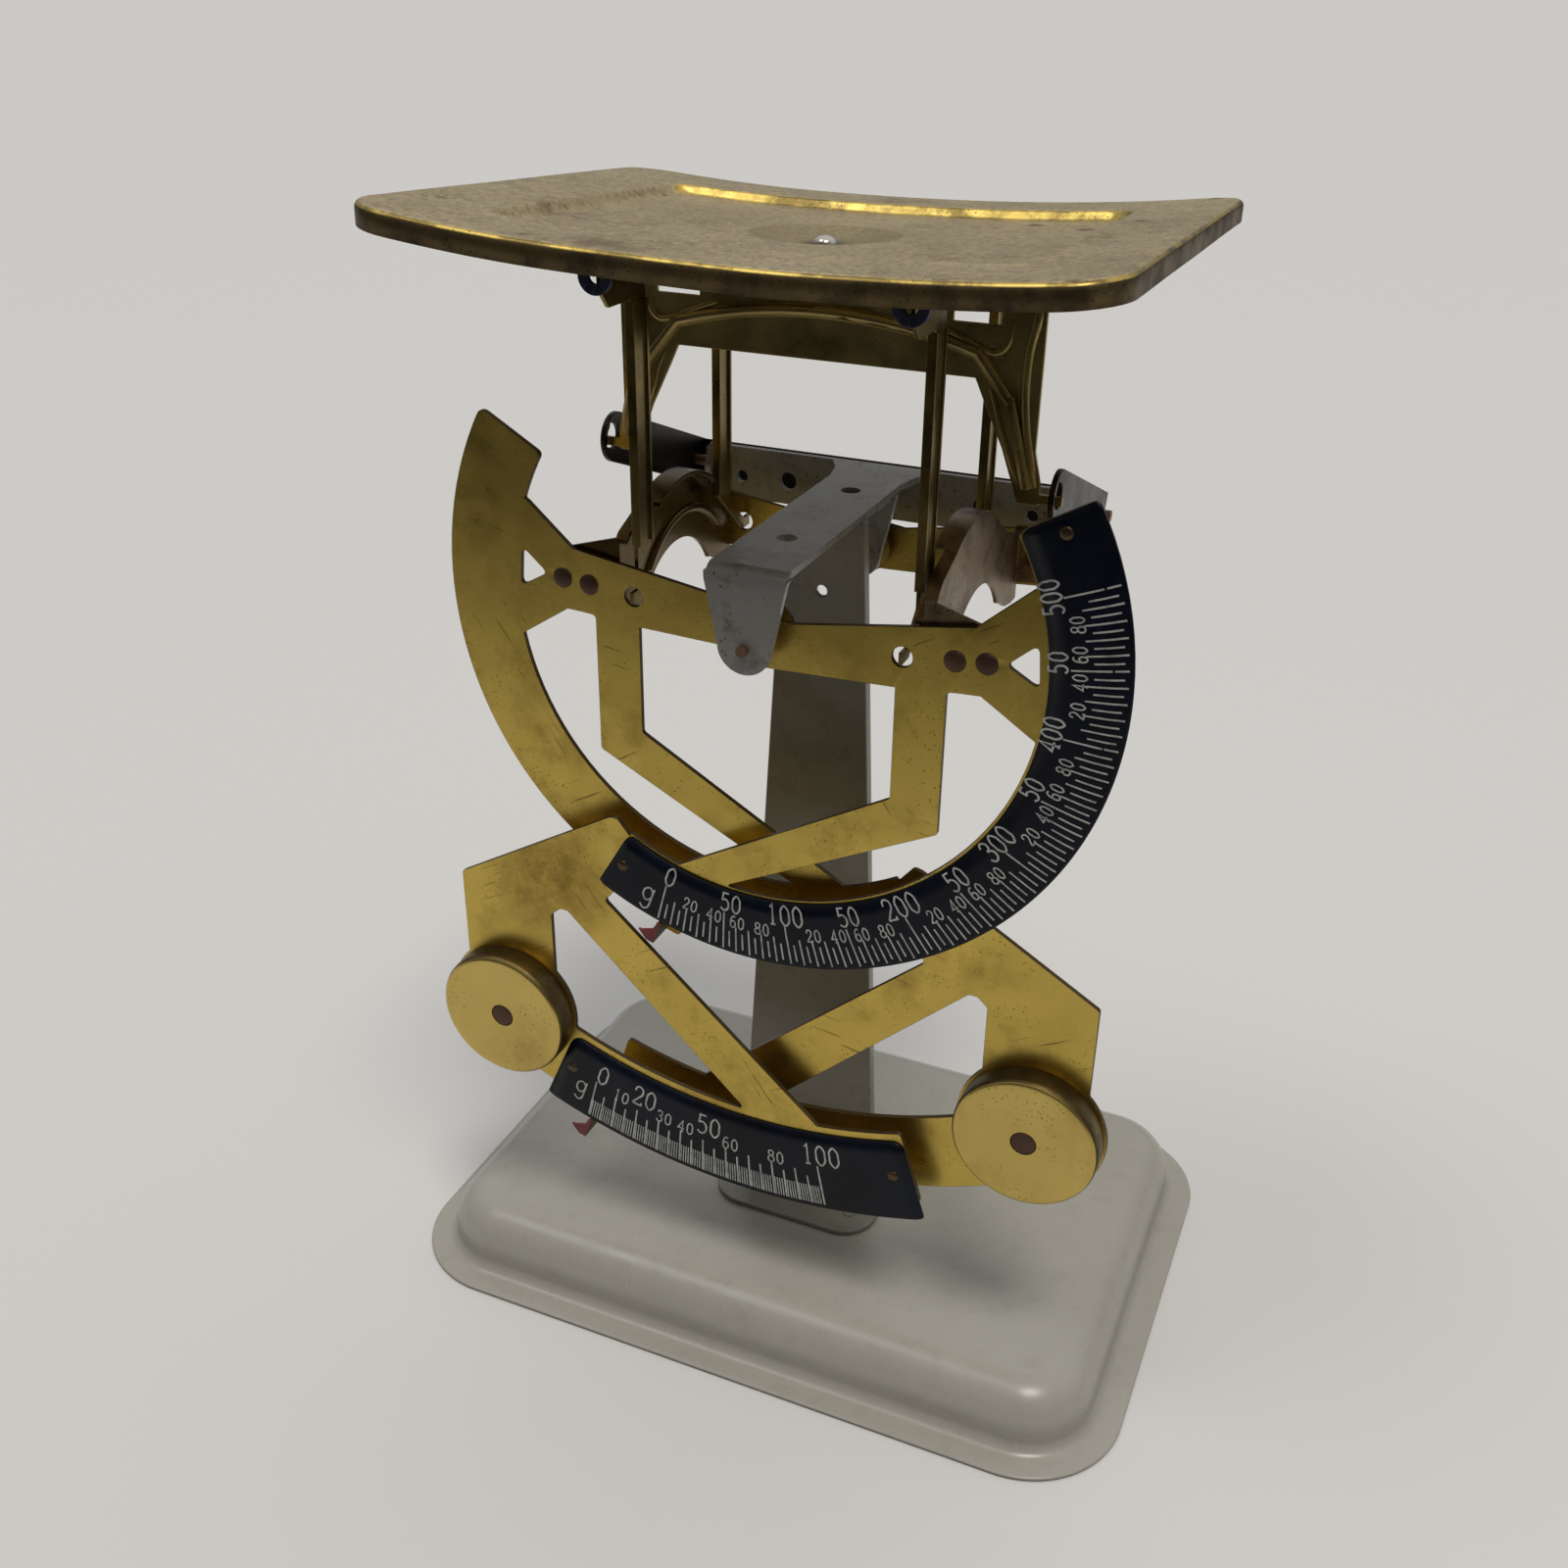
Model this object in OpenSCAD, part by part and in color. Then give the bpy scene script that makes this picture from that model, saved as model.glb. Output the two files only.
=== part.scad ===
// Two-pendulum letter scale: a sheet-steel stand, two mirror-image brass sector plates
// that turn against each other, and a pan that rides on four legs between them.
// Origin: middle of the base on the table. X to the right, Y to the back, Z up.

/* [Base and post] */
// Width of the base over its lip
base_w = 192; // [170:1:230]
// Depth of the base over its lip
base_d = 134.7; // [120:0.1:170]
// Height of the base at its flat top
base_h = 17; // [13:0.5:26]
// Corner radius of the lip
base_corner = 25; // [22:0.5:34]
// Width of the flat lip around the raised part
base_lip = 7.6; // [5:0.1:10]
// Radius of the pressed shoulder
base_shoulder = 10; // [5:0.5:11]
// Sheet thickness of the base
base_t = 1.2; // [0.8:0.1:2]
// Front face of the post, from the middle of the base
post_y = -10.2; // [-14:0.1:-8]
// Half-width of the post at the foot
post_foot_half = 21; // [17:0.5:24]
// Half-width of the post at the top
post_top_half = 9.6; // [8:0.1:12]
// Depth of the turned-back sides of the post
post_side = 3.2; // [2:0.1:6]
// Sheet thickness of the post
post_t = 1.5; // [1:0.1:2.5]
// How far the foot plate stands out in front of the post
foot_front = 15.8; // [10:0.1:22]
// Depth of the foot plate from front to back
foot_d = 34; // [28:0.5:40]
// Half-width of the foot plate
foot_half = 22.5; // [20:0.5:26]

/* [Axle bracket] */
// Height of the pivot line above the table
pivot_z = 190; // [180:1:205]
// Radius of the two pivot pins
pin_r = 1.2; // [0.9:0.05:1.6]
// Sheet thickness of the bracket
bracket_t = 1.5; // [1:0.1:2]
// Height of the top of the arm above the pivot
arm_rise = 17; // [15:0.5:20]
// Width of the arm
arm_w = 17.5; // [14:0.5:20]
// Gap between the front tongue and the front plate
tongue_gap = 4.5; // [3:0.1:7]
// Width of the tongue's round lower end
tongue_end_w = 12; // [9:0.5:14]
// Front face of the rear tongue, from the middle of the base
rear_tongue_y = 11.2; // [8:0.1:13]
// Front face of the crossbar, from the middle of the base
crossbar_y = 27.7; // [26:0.1:30]
// Half-length of the crossbar
crossbar_half = 46.7; // [44:0.1:49]
// Height of the crossbar
crossbar_h = 12.8; // [9:0.1:16]
// Radius of the screw holes in the arm
arm_hole_r = 2.3; // [1.5:0.1:3]

/* [Sector plates] */
// Front face of the front plate, from the middle of the base
front_y = -45.8; // [-48:0.1:-44]
// Sheet thickness of the plates and levers
plate_t = 1.2; // [0.8:0.1:1.6]
// Distance from the front plate's face to the rear plate's face
plate_pitch = 6.45; // [5:0.05:8]
// Inner radius of the upper arc
arc_r_in = 61.2; // [59:0.1:64]
// Outer radius of the upper arc
arc_r_out = 77.9; // [74:0.1:80]
// Inner radius of the lower arc
low_r_in = 122.5; // [119:0.5:126]
// Outer radius of the lower arc
low_r_out = 142; // [136:0.5:146]
// Angle at which the upper arc starts
arc_from = -120.2; // [-122:0.1:-118]
// Angle at which the upper arc ends
arc_to = 30; // [25:0.5:36]
// Angle at which the lower arc ends
low_to = -72.3; // [-80:0.1:-70]
// Distance of the strut's middle from the pivot line
strut_u = 36; // [34:0.1:38]
// Width of the strut
strut_w = 10.8; // [8:0.1:13]
// Distance of the load hole from the pivot
load_r = 31.85; // [30:0.05:33]
// Angle of the load hole above the level
load_angle = 3.27; // [0:0.01:6]
// Radius of the load hole
load_hole_r = 2.2; // [1.8:0.05:2.6]

/* [Counterweights] */
// Distance of the counterweight from the pivot
weight_at_r = 128.1; // [124:0.1:132]
// Angle of the counterweight
weight_angle = -120.9; // [-124:0.1:-118]
// Radius of the counterweight
weight_r = 16.86; // [14:0.02:18]
// Thickness of the counterweight
weight_t = 6.4; // [4:0.1:7.5]
// Width of the arm that carries the counterweight
weight_arm_w = 24.6; // [18:0.2:30]

/* [Scales and pointers] */
// Thickness of the scale strips
strip_t = 0.5; // [0.3:0.05:0.8]
// Width of the main scale strip
strip_w = 16; // [12:0.1:17]
// Width of the fine scale strip
fine_w = 22; // [16:0.5:24]
// How far the fine strip stands out past its arc
fine_over = 4.5; // [2:0.1:6]
// Angle of the zero line and of the pointers
zero_angle = -108.2; // [-110:0.1:-106]
// Length of a pointer's coloured tip
tip_len = 6.4; // [4:0.1:9]
// Width of a pointer's coloured tip
tip_w = 3.8; // [2.5:0.1:6]

/* [Links between front and back] */
// Middle of the arch bracket's web from the pivot line
web_x = 36; // [35.4:0.1:38]
// Sheet thickness of the arch brackets
web_t = 1; // [0.8:0.1:1.4]
// Front face of the left rear lever, from the middle of the base
lever_y = 17.7; // [17:0.1:18.5]
// Distance between the two rear levers
lever_pitch = 3; // [2.6:0.1:3.4]
// Length of the levers from the pivot
lever_len = 50; // [48:0.1:50.4]
// Width of a leg from front to back
leg_d = 6.4; // [5.8:0.1:8]
// Thickness of a leg over its ribs
leg_w = 2; // [1.6:0.1:2.6]
// Sheet thickness of a leg
leg_t = 0.9; // [0.6:0.1:1.2]
// Middle of the front legs, from the middle of the base
front_leg_y = -34.2; // [-34.6:0.1:-32]
// Middle of the rear legs, from the middle of the base
rear_leg_y = 5.4; // [5:0.1:8]

/* [Pan and its carrier] */
// Width of the pan
pan_w = 147.6; // [130:0.2:170]
// Depth of the pan
pan_d = 122; // [100:0.5:126]
// Corner radius of the pan
pan_corner = 9; // [5:0.5:16]
// Sheet thickness of the pan
pan_t = 0.6; // [0.5:0.1:1.2]
// Depth of the pan's turned-down rim
pan_rim = 5; // [3:0.1:8]
// Radius of the pan's bow from side to side
pan_bow_r = 626; // [400:1:1200]
// Lean of the pan towards the back in degrees
pan_lean = 1.9; // [0:0.1:3]
// Width of the pan's flat border around its recess
pan_border = 20; // [12:0.5:30]
// Depth of the pan's recess
pan_recess = 1.8; // [1:0.1:3]
// Height of the pan's lug holes above the pivot line
lug_rise = 70.5; // [66:0.1:74]
// Radius of a lug
lug_r = 3.6; // [3:0.1:5]
// Radius of the hole in a lug
lug_hole_r = 1.45; // [1:0.05:1.8]
// Middle of the pan from the middle of the base
pan_y = -12.8; // [-15:0.1:-10]
// Distance between the front and rear lugs
lug_span = 75; // [74:0.1:77]
// Width of a rail under the pan
rail_w = 7.5; // [7.3:0.1:9]
// Sheet thickness of rails and lugs
rail_t = 1.2; // [0.8:0.1:1.6]
// Half-width of the trestle
trestle_half = 47.1; // [46:0.1:48]
// Sheet thickness of the trestle
trestle_t = 1; // [0.8:0.1:1.6]
// Distance from the lug holes down to the underside of the trestle's beam
beam_drop = 20.3; // [17:0.1:23]
// How far the pan goes down from empty to full load
pan_travel = 31.17; // [31.17:0.01:31.2]

/* [Guide yoke] */
// Inner half-width of the yoke
yoke_half = 50.9; // [50.6:0.1:53]
// Height of the yoke's cheeks
yoke_h = 11.3; // [9:0.1:13]
// Sheet thickness of the yoke
yoke_t = 1.2; // [0.8:0.1:1.6]
// Yoke pins behind the middle of the base
yoke_pin_y = 30.6; // [30.5:0.1:32]
// Yoke pins above the table
yoke_pin_z = 201.5; // [198:0.1:203]
// Radius of the yoke pins
yoke_pin_r = 1.3; // [0.9:0.05:1.6]
// Distance from the yoke pins to the middle of its front holes
yoke_reach = 45; // [44.5:0.1:46]
// Slope of the yoke at rest
yoke_slope = 21.2; // [18:0.1:24]

/* [Hidden] */
$fn = 64;
// Free play between parts that turn on each other, and between parts that are riveted
run_fit = 0.06;
rivet_fit = 0.02;
seat_gap = 0.02;
pan_gap = 0.7;
hole_half = 2.75;
yoke_web_y = 5.5;
rib_r = 1.3;
side_play = 0.2;
rivet_r = 1.5;
rivet_head_r = 2.35;
rivet_head_h = 0.7;
small_rivet_r = 0.9;
small_head_r = 1.7;
screw_r = 2;

// Planes from front to back
rear_plate_y = front_y + plate_pitch;
tongue_y = front_y - tongue_gap - bracket_t;
right_lever_y = lever_y + lever_pitch;
arm_top_z = pivot_z + arm_rise;
arm_under_z = arm_top_z - bracket_t;

// Load holes and counterweights, seen from the front with the pivot at 0, 0
load_u = load_r * cos(load_angle);
load_v = load_r * sin(load_angle);
weight_u = weight_at_r * cos(weight_angle);
weight_v = weight_at_r * sin(weight_angle);
lobe_r = weight_r + 0.6;
front_bar_rivets = [[42.7, 2.9], [49.2, 3.5]];
lever_rivets = [[40.6, 2.6], [46.4, 3.2]];
strip_rivet_r = arc_r_out - 0.49 * strip_w;
strip_rivets = [[strip_rivet_r, arc_from + 2.3], [strip_rivet_r, arc_to - 2.8]];
fine_rivet_r = low_r_out + fine_over - 0.56 * fine_w;
fine_rivets = [[fine_rivet_r, weight_angle + 9.3], [fine_rivet_r, low_to - 2.1]];

// Heights of the pan's carrier
lug_z = pivot_z + lug_rise;
rail_z = lug_z + lug_r - rail_t;
rail_top = rail_z + rail_t;
front_lug_y = pan_y - lug_span / 2;
rear_lug_y = pan_y + lug_span / 2;
trestle_tip_z = yoke_pin_z + pan_travel / 2;
beam_under_z = lug_z - beam_drop;
pan_top_z = rail_top + pan_recess + pan_t + pan_gap;

// Radius at which the lower pointer starts, and the planes of the front legs' blades
pointer_r_low = low_r_out + fine_over + 0.5;
front_blade_y = front_y - 1;
rear_blade_y = rear_plate_y - 1;

// A plate that stands across the scale, drawn as seen from the front around the pivot
module upright(y, t) {
    stand_up(y, t) linear_extrude(t) children();
}

// Stands a flat-lying solid of thickness t up, so that its front face is at y
module stand_up(y, t) {
    translate([0, y + t, pivot_z]) rotate([90, 0, 0]) children();
}

// A plate that runs from front to back, drawn as seen from the right
module fore_aft(x, t) {
    translate([x, 0, 0]) rotate([90, 0, 90]) linear_extrude(t) children();
}

// A round bar from front to back
module bar_y(x, z, y_from, y_to, r) {
    translate([x, y_from, z]) rotate([-90, 0, 0]) cylinder(r = r, h = y_to - y_from);
}

// A round bar from left to right
module bar_x(y, z, x_from, x_to, r) {
    translate([x_from, y, z]) rotate([0, 90, 0]) cylinder(r = r, h = x_to - x_from);
}

// A flat ring between two radii and two angles
module ring_sector(r_in, r_out, a_from, a_to) {
    steps = ceil((a_to - a_from) / 45);
    intersection() {
        difference() {
            circle(r_out);
            circle(r_in);
        }
        polygon(concat([[0, 0]], [for (i = [0:steps])
            let (a = a_from + (a_to - a_from) * i / steps) 1.3 * r_out * [cos(a), sin(a)]]));
    }
}

module rounded_rect(w, d, r) {
    square([w - 2 * r, d], center = true);
    square([w, d - 2 * r], center = true);
    for (sx = [-1, 1], sy = [-1, 1])
        translate([sx * (w / 2 - r), sy * (d / 2 - r)]) circle(r);
}

function polar(r, a) = [r * cos(a), r * sin(a)];

// Base: one pressing, its section swept around a rounded rectangle
module base_section() {
    wall = base_corner - base_lip;
    root = 3;
    difference() {
        union() {
            square([base_corner - base_t / 2, base_t]);
            translate([base_corner - base_t / 2, base_t / 2]) circle(base_t / 2);
            square([wall, base_h - base_shoulder]);
            square([wall - base_shoulder, base_h]);
            translate([wall - base_shoulder, base_h - base_shoulder]) circle(base_shoulder);
            difference() {
                translate([wall, 0]) square([root, base_t + root]);
                translate([wall + root, base_t + root]) circle(root);
            }
        }
        inner = base_shoulder - base_t;
        translate([-1, -1]) square([wall - base_t + 1, base_h - base_shoulder + 1]);
        translate([-1, -1]) square([wall - base_shoulder + 1, base_h - base_t + 1]);
        translate([wall - base_shoulder, base_h - base_shoulder]) circle(inner);
        translate([-30, -5]) square([30, base_h + 10]);
        translate([-1, -5]) square([base_corner + 2, 5]);
    }
}

module base_shell() {
    run_x = base_w - 2 * base_corner;
    run_y = base_d - 2 * base_corner;
    color("#a5a29a") difference() {
        union() {
            for (i = [0:3]) {
                sx = (i == 0 || i == 3) ? 1 : -1;
                sy = (i < 2) ? 1 : -1;
                length = (i % 2 == 0) ? run_y : run_x;
                translate([sx * run_x / 2, sy * run_y / 2, 0]) rotate(90 * i)
                    rotate_extrude(angle = 90) base_section();
                translate([sx * run_x / 2, sy * run_y / 2, 0]) rotate(90 * i)
                    rotate([90, 0, 0]) linear_extrude(length) base_section();
            }
            translate([-run_x / 2, -run_y / 2, base_h - base_t]) cube([run_x, run_y, base_t]);
        }
        post_rivet_places() cylinder(r = rivet_r + rivet_fit, h = 2 * base_h);
    }
}

module post_rivet_places() {
    for (s = [-1, 1])
        translate([s * (foot_half - 7), post_y - foot_front / 2, 0]) children();
}

// Post: a tapered channel whose bottom is turned forward into a foot plate
module post() {
    top_z = arm_under_z;
    foot_top = base_h + post_t;
    mid_y = post_y - foot_front + foot_d / 2;
    color("#9a968d") difference() {
        union() {
            translate([0, post_y + post_t, 0]) rotate([90, 0, 0]) linear_extrude(post_t)
                polygon([[-post_foot_half + 2, base_h], [post_foot_half - 2, base_h],
                    [post_top_half, top_z], [-post_top_half, top_z]]);
            for (s = [-1, 1])
                translate([0, post_y + post_side, 0]) rotate([90, 0, 0]) linear_extrude(post_side)
                    polygon([[s * (post_foot_half - 2), base_h], [s * post_top_half, top_z],
                        [s * (post_top_half - post_t), top_z],
                        [s * (post_foot_half - 2 - post_t), base_h]]);
            translate([0, mid_y, base_h]) linear_extrude(post_t)
                rounded_rect(2 * foot_half, foot_d, 9);
            translate([-post_top_half + 2, post_y, top_z - post_t])
                cube([2 * post_top_half - 4, rear_tongue_y - post_y - 8, post_t]);
        }
        bar_y(0, pivot_z - 1.6, post_y - 5, post_y + 5, 1.3);
        post_rivet_places() translate([0, 0, base_h - 1]) cylinder(r = rivet_r + rivet_fit, h = 10);
    }
}

module post_rivets() {
    color("#8d897f") post_rivet_places() {
        translate([0, 0, base_h - base_t]) cylinder(r = rivet_r, h = base_t + post_t);
        translate([0, 0, base_h - base_t - 1]) cylinder(r = 3, h = 1);
    }
}

// Outline of a hanging tongue with a round end, seen from the front around the pivot
module tongue_outline(top_w, drop) {
    r = tongue_end_w / 2;
    translate([0, drop + r]) circle(r);
    polygon([[-top_w / 2, arm_rise - bracket_t], [top_w / 2, arm_rise - bracket_t],
        [r, drop + r], [-r, drop + r]]);
}

// Axle bracket: tongue, arm and crossbar of one sheet
module axle_bracket() {
    bend = 3.5;
    color("#97938a") difference() {
        union() {
            intersection() {
                upright(tongue_y, bend + 1) tongue_outline(arm_w + 1, -5.6);
                fore_aft(-20, 40) union() {
                    translate([tongue_y, pivot_z - 10]) square([bracket_t, arm_rise + 10 - bend]);
                    intersection() {
                        translate([tongue_y, arm_top_z - bend]) square(bend);
                        difference() {
                            translate([tongue_y + bend, arm_top_z - bend]) circle(bend);
                            translate([tongue_y + bend, arm_top_z - bend]) circle(bend - bracket_t);
                        }
                    }
                }
            }
            intersection() {
                fore_aft(-20, 40) difference() {
                    translate([tongue_y + bend, arm_top_z - bend]) circle(bend);
                    translate([tongue_y + bend, arm_top_z - bend]) circle(bend - bracket_t);
                }
                translate([-arm_w / 2, tongue_y, arm_top_z - bracket_t - 0.6])
                    cube([arm_w, bend, bracket_t + 0.6]);
            }
            translate([0, 0, arm_under_z]) linear_extrude(bracket_t) polygon([
                [-arm_w / 2, tongue_y + bend], [arm_w / 2, tongue_y + bend],
                [arm_w / 2, crossbar_y - 12], [arm_w / 2 + 1.5, crossbar_y - 5],
                [arm_w / 2 + 5, crossbar_y + bracket_t], [-arm_w / 2 - 5, crossbar_y + bracket_t],
                [-arm_w / 2 - 1.5, crossbar_y - 5], [-arm_w / 2, crossbar_y - 12]]);
            upright(crossbar_y, bracket_t) difference() {
                polygon([[-crossbar_half, arm_rise - crossbar_h + 2.5], [-30, arm_rise - crossbar_h],
                    [30, arm_rise - crossbar_h], [crossbar_half, arm_rise - crossbar_h + 2.5],
                    [crossbar_half, arm_rise - 1], [crossbar_half - 1, arm_rise],
                    [-crossbar_half + 1, arm_rise], [-crossbar_half, arm_rise - 1]]);
                for (s = [-1, 1]) translate([s * 24.6, 10]) circle(2.2);
                translate([-37, 9.7]) circle(1.5);
                translate([37, 9.7]) circle(1.5);
            }
            for (s = [-1, 1])
                translate([s * (crossbar_half - bracket_t / 2), 0, 0]) fore_aft(-bracket_t / 2, bracket_t)
                    difference() {
                        union() {
                            translate([crossbar_y, yoke_pin_z - 4])
                                square([yoke_pin_y - crossbar_y, 8]);
                            translate([yoke_pin_y, yoke_pin_z]) circle(4);
                        }
                        translate([yoke_pin_y, yoke_pin_z]) circle(yoke_pin_r + rivet_fit);
                    }
        }
        bar_y(0, pivot_z, tongue_y - 1, tongue_y + bracket_t + 1, pin_r + rivet_fit);
        for (y = [front_y + 15.6, front_y + 52.2])
            translate([0, y, arm_under_z - 1]) cylinder(r = arm_hole_r, h = bracket_t + 2);
    }
}

// Rear tongue: an angle under the arm that holds the rear pin
module rear_tongue() {
    flange_d = 8;
    color("#97938a") difference() {
        union() {
            upright(rear_tongue_y, bracket_t) tongue_outline(19, -5.4);
            translate([-8, rear_tongue_y - flange_d, arm_under_z - bracket_t])
                cube([16, flange_d + bracket_t, bracket_t]);
        }
        bar_y(0, pivot_z, rear_tongue_y - 1, rear_tongue_y + bracket_t + 1, pin_r + rivet_fit);
    }
}

module front_pivot_pin() {
    color("#5f4632") bar_y(0, pivot_z, tongue_y - 1.5, rear_plate_y + plate_t + 2, pin_r);
}

module rear_pivot_pin() {
    color("#5f4632") bar_y(0, pivot_z, rear_tongue_y - 1, right_lever_y + plate_t + 2, pin_r);
}

// Spacer sleeve on a pivot pin
module sleeve(y_from, y_to) {
    difference() {
        bar_y(0, pivot_z, y_from + side_play, y_to - side_play, pin_r + 1.5);
        bar_y(0, pivot_z, y_from - 1, y_to + 1, pin_r + rivet_fit);
    }
}

module pivot_spacers() {
    color("#b08d43") {
        sleeve(tongue_y + bracket_t - side_play, front_y);
        sleeve(front_y + plate_t, rear_plate_y);
        sleeve(rear_tongue_y + bracket_t - side_play, lever_y);
        sleeve(lever_y + plate_t, right_lever_y);
    }
}

module pin_clips() {
    color("#77736a") {
        sleeve(rear_plate_y + plate_t, rear_plate_y + plate_t + 1.2);
        sleeve(right_lever_y + plate_t, right_lever_y + plate_t + 1.2);
    }
}

module yoke_pins() {
    color("#4b4640") for (s = [-1, 1]) mirror([s < 0 ? 1 : 0, 0, 0])
        bar_x(yoke_pin_y, yoke_pin_z, crossbar_half - bracket_t - 1, yoke_half + yoke_t + 2.6, yoke_pin_r);
}

// Lever outline from the pivot to past the arch bracket's rivets
module lever_outline(end_u) {
    circle(6);
    polygon([[0, 6], [0, -6], [4.2, -5.9], [30.2, -5], [end_u, -3.6],
        [end_u, 10.6 - (46.5 - end_u) * 0.15], [8.4, 4.8]]);
}

// Cut-outs of a lever: pivot bore, load hole and rivet holes
module lever_holes(rivet_places) {
    circle(pin_r + run_fit);
    translate([load_u, load_v]) circle(load_hole_r);
    for (p = rivet_places) translate(p) circle(rivet_r + rivet_fit);
}

// Sector plate, lying flat: lever, fork, two arcs, struts and the counterweight's arm
module sector_solid(t) {
    strut_in = strut_u - strut_w / 2;
    strut_out = strut_u + strut_w / 2;
    arm_out = weight_u - weight_arm_w / 2;
    arm_in = weight_u + weight_arm_w / 2;
    linear_extrude(t) ring_sector(arc_r_in, arc_r_out, arc_from, arc_to);
    linear_extrude(t) lever_outline(46.5);
    // Fork that joins the lever to the upper arc around a small window
    linear_extrude(t) difference() {
        polygon([[46.5, 10.6], [57, 19.8], polar(arc_r_in + 5, 20), polar(arc_r_in + 5, -12),
            [59.3, -10.75], [48.4, -3.6], [44, -3.8], [44, 10.2]]);
        polygon([[53.1, 3.95], [59.2, 9.3], [60, 0]]);
    }
    // Upright strut and the upper diagonal
    linear_extrude(t) polygon([[strut_in, 0], [strut_out, 0], [strut_out, -36.4],
        [-12, -63.2], [-22, -60], [strut_in, -30.3]]);
    // Shoulder that carries the counterweight's arm, and the lower diagonal
    linear_extrude(t) polygon([[arm_out, weight_v], [arm_out, -74.4], [-36.6, -50.1],
        [-34.6, -49.6], polar(arc_r_in + 1.3, arc_from + 0.9), [-35, -68.7], [-38.6, -72.8],
        [15.6, -120.6], polar(low_r_in + 3, -81.5), polar(low_r_in + 3, -92), [-3.1, -121.6],
        [-49, -78.4], [-51, -78.4], [arm_in, -80.6], [arm_in, weight_v]]);
    translate([weight_u, weight_v]) cylinder(r = lobe_r, h = t);
    linear_extrude(t) ring_sector(low_r_in, low_r_out, weight_angle, low_to);
}

module sector_holes() {
    lever_holes(front_bar_rivets);
    translate([weight_u, weight_v]) circle(3 + rivet_fit);
}

module front_sector_plate() {
    color("#b8973f") stand_up(front_y, plate_t) difference() {
        sector_solid(plate_t);
        translate([0, 0, -1]) linear_extrude(plate_t + 2) {
            sector_holes();
            for (p = concat(strip_rivets, fine_rivets))
                translate(polar(p[0], p[1])) circle(small_rivet_r + rivet_fit);
        }
    }
}

// Rear plate: the front plate's mirror image, with two ears for the pointers
module rear_sector_plate() {
    color("#b8973f") stand_up(rear_plate_y, plate_t) mirror([1, 0, 0]) difference() {
        union() {
            sector_solid(plate_t);
            for (ear = [[arc_r_out, arc_r_out + 0.7 + tip_len], [low_r_out, pointer_r_low + tip_len]])
                rotate(-180 - zero_angle) translate([ear[0] - 1, -4.4, 0])
                    cube([ear[1] - ear[0] + 1, 6, plate_t]);
        }
        translate([0, 0, -1]) linear_extrude(plate_t + 2) sector_holes();
    }
}

// Pointer: a bent tab on the rear plate that reaches forward past the front plate's edge
// and ends in a coloured half-arrow level with the scale strip
module pointer(r) {
    t = 0.8;
    depth = rear_plate_y - front_y + strip_t;
    translate([0, 0, pivot_z]) rotate([0, -zero_angle, 0]) {
        translate([r, 0, 0]) mirror([0, 0, 1]) {
            translate([0, front_y - strip_t, -t]) linear_extrude(t)
                polygon([[0, 0], [tip_len, 0], [tip_len, depth], [tip_len * 0.35, depth],
                    [tip_len * 0.15, t]]);
            translate([0, front_y - strip_t + t, 0]) rotate([90, 0, 0]) linear_extrude(t)
                polygon([[0, -t], [0, -t + 0.5], [tip_len * 0.45, 0.6], [tip_len * 0.72, tip_w - 0.6],
                    [tip_len * 0.72, tip_w], [tip_len, tip_w * 0.3], [tip_len, -t]]);
        }
    }
}

module upper_pointer() {
    color("#a83236") pointer(arc_r_out + 0.7);
}

module lower_pointer() {
    color("#a83236") pointer(pointer_r_low);
}

module main_scale_strip() {
    color("#161a2b") upright(front_y - strip_t, strip_t) difference() {
        ring_sector(arc_r_out - strip_w, arc_r_out + 0.1, arc_from - 0.3, arc_to);
        for (p = strip_rivets) translate(polar(p[0], p[1])) circle(small_rivet_r + rivet_fit);
    }
}

module fine_scale_strip() {
    r = low_r_out + fine_over;
    color("#161a2b") upright(front_y - strip_t, strip_t) difference() {
        ring_sector(r - fine_w, r, weight_angle + 7.8, low_to);
        for (p = fine_rivets) translate(polar(p[0], p[1])) circle(small_rivet_r + rivet_fit);
    }
}

// A rivet through sheets from y_from to y_to with a low head at each end
module rivet(u, v, y_from, y_to, r, head_r, head_h) {
    bar_y(u, pivot_z + v, y_from - head_h, y_to + head_h, r);
    bar_y(u, pivot_z + v, y_from - head_h, y_from, head_r);
    bar_y(u, pivot_z + v, y_to, y_to + head_h, head_r);
}

module scale_rivets() {
    color("#8c7436") for (p = concat(strip_rivets, fine_rivets)) {
        c = polar(p[0], p[1]);
        rivet(c[0], c[1], front_y - strip_t, front_y + plate_t, small_rivet_r, small_head_r, 0.4);
    }
}

// Counterweight: a turned disc with rounded rims and a shallow dish in its face
module counterweight(y) {
    edge = 1;
    dish = 0.5;
    translate([weight_u, y, pivot_z + weight_v]) rotate([90, 0, 0]) rotate_extrude(convexity = 4)
        difference() {
            union() {
                translate([3 + rivet_fit, 0]) square([weight_r - edge - 3 - rivet_fit, weight_t]);
                translate([3 + rivet_fit, edge]) square([weight_r - 3 - rivet_fit, weight_t - 2 * edge]);
                for (z = [edge, weight_t - edge]) translate([weight_r - edge, z]) circle(edge);
            }
            polygon([[0, weight_t + 1], [0, weight_t - dish], [5, weight_t - dish],
                [weight_r - 3.5, weight_t], [weight_r - 3.5, weight_t + 1]]);
        }
}

module front_counterweight() {
    color("#c0a354") counterweight(front_y);
}

module rear_counterweight() {
    color("#c0a354") mirror([1, 0, 0]) counterweight(rear_plate_y);
}

module weight_rivet(y) {
    bar_y(weight_u, pivot_z + weight_v, y - weight_t + 0.2, y + plate_t + 0.8, 3);
    bar_y(weight_u, pivot_z + weight_v, y + plate_t, y + plate_t + 0.8, 4);
}

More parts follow.
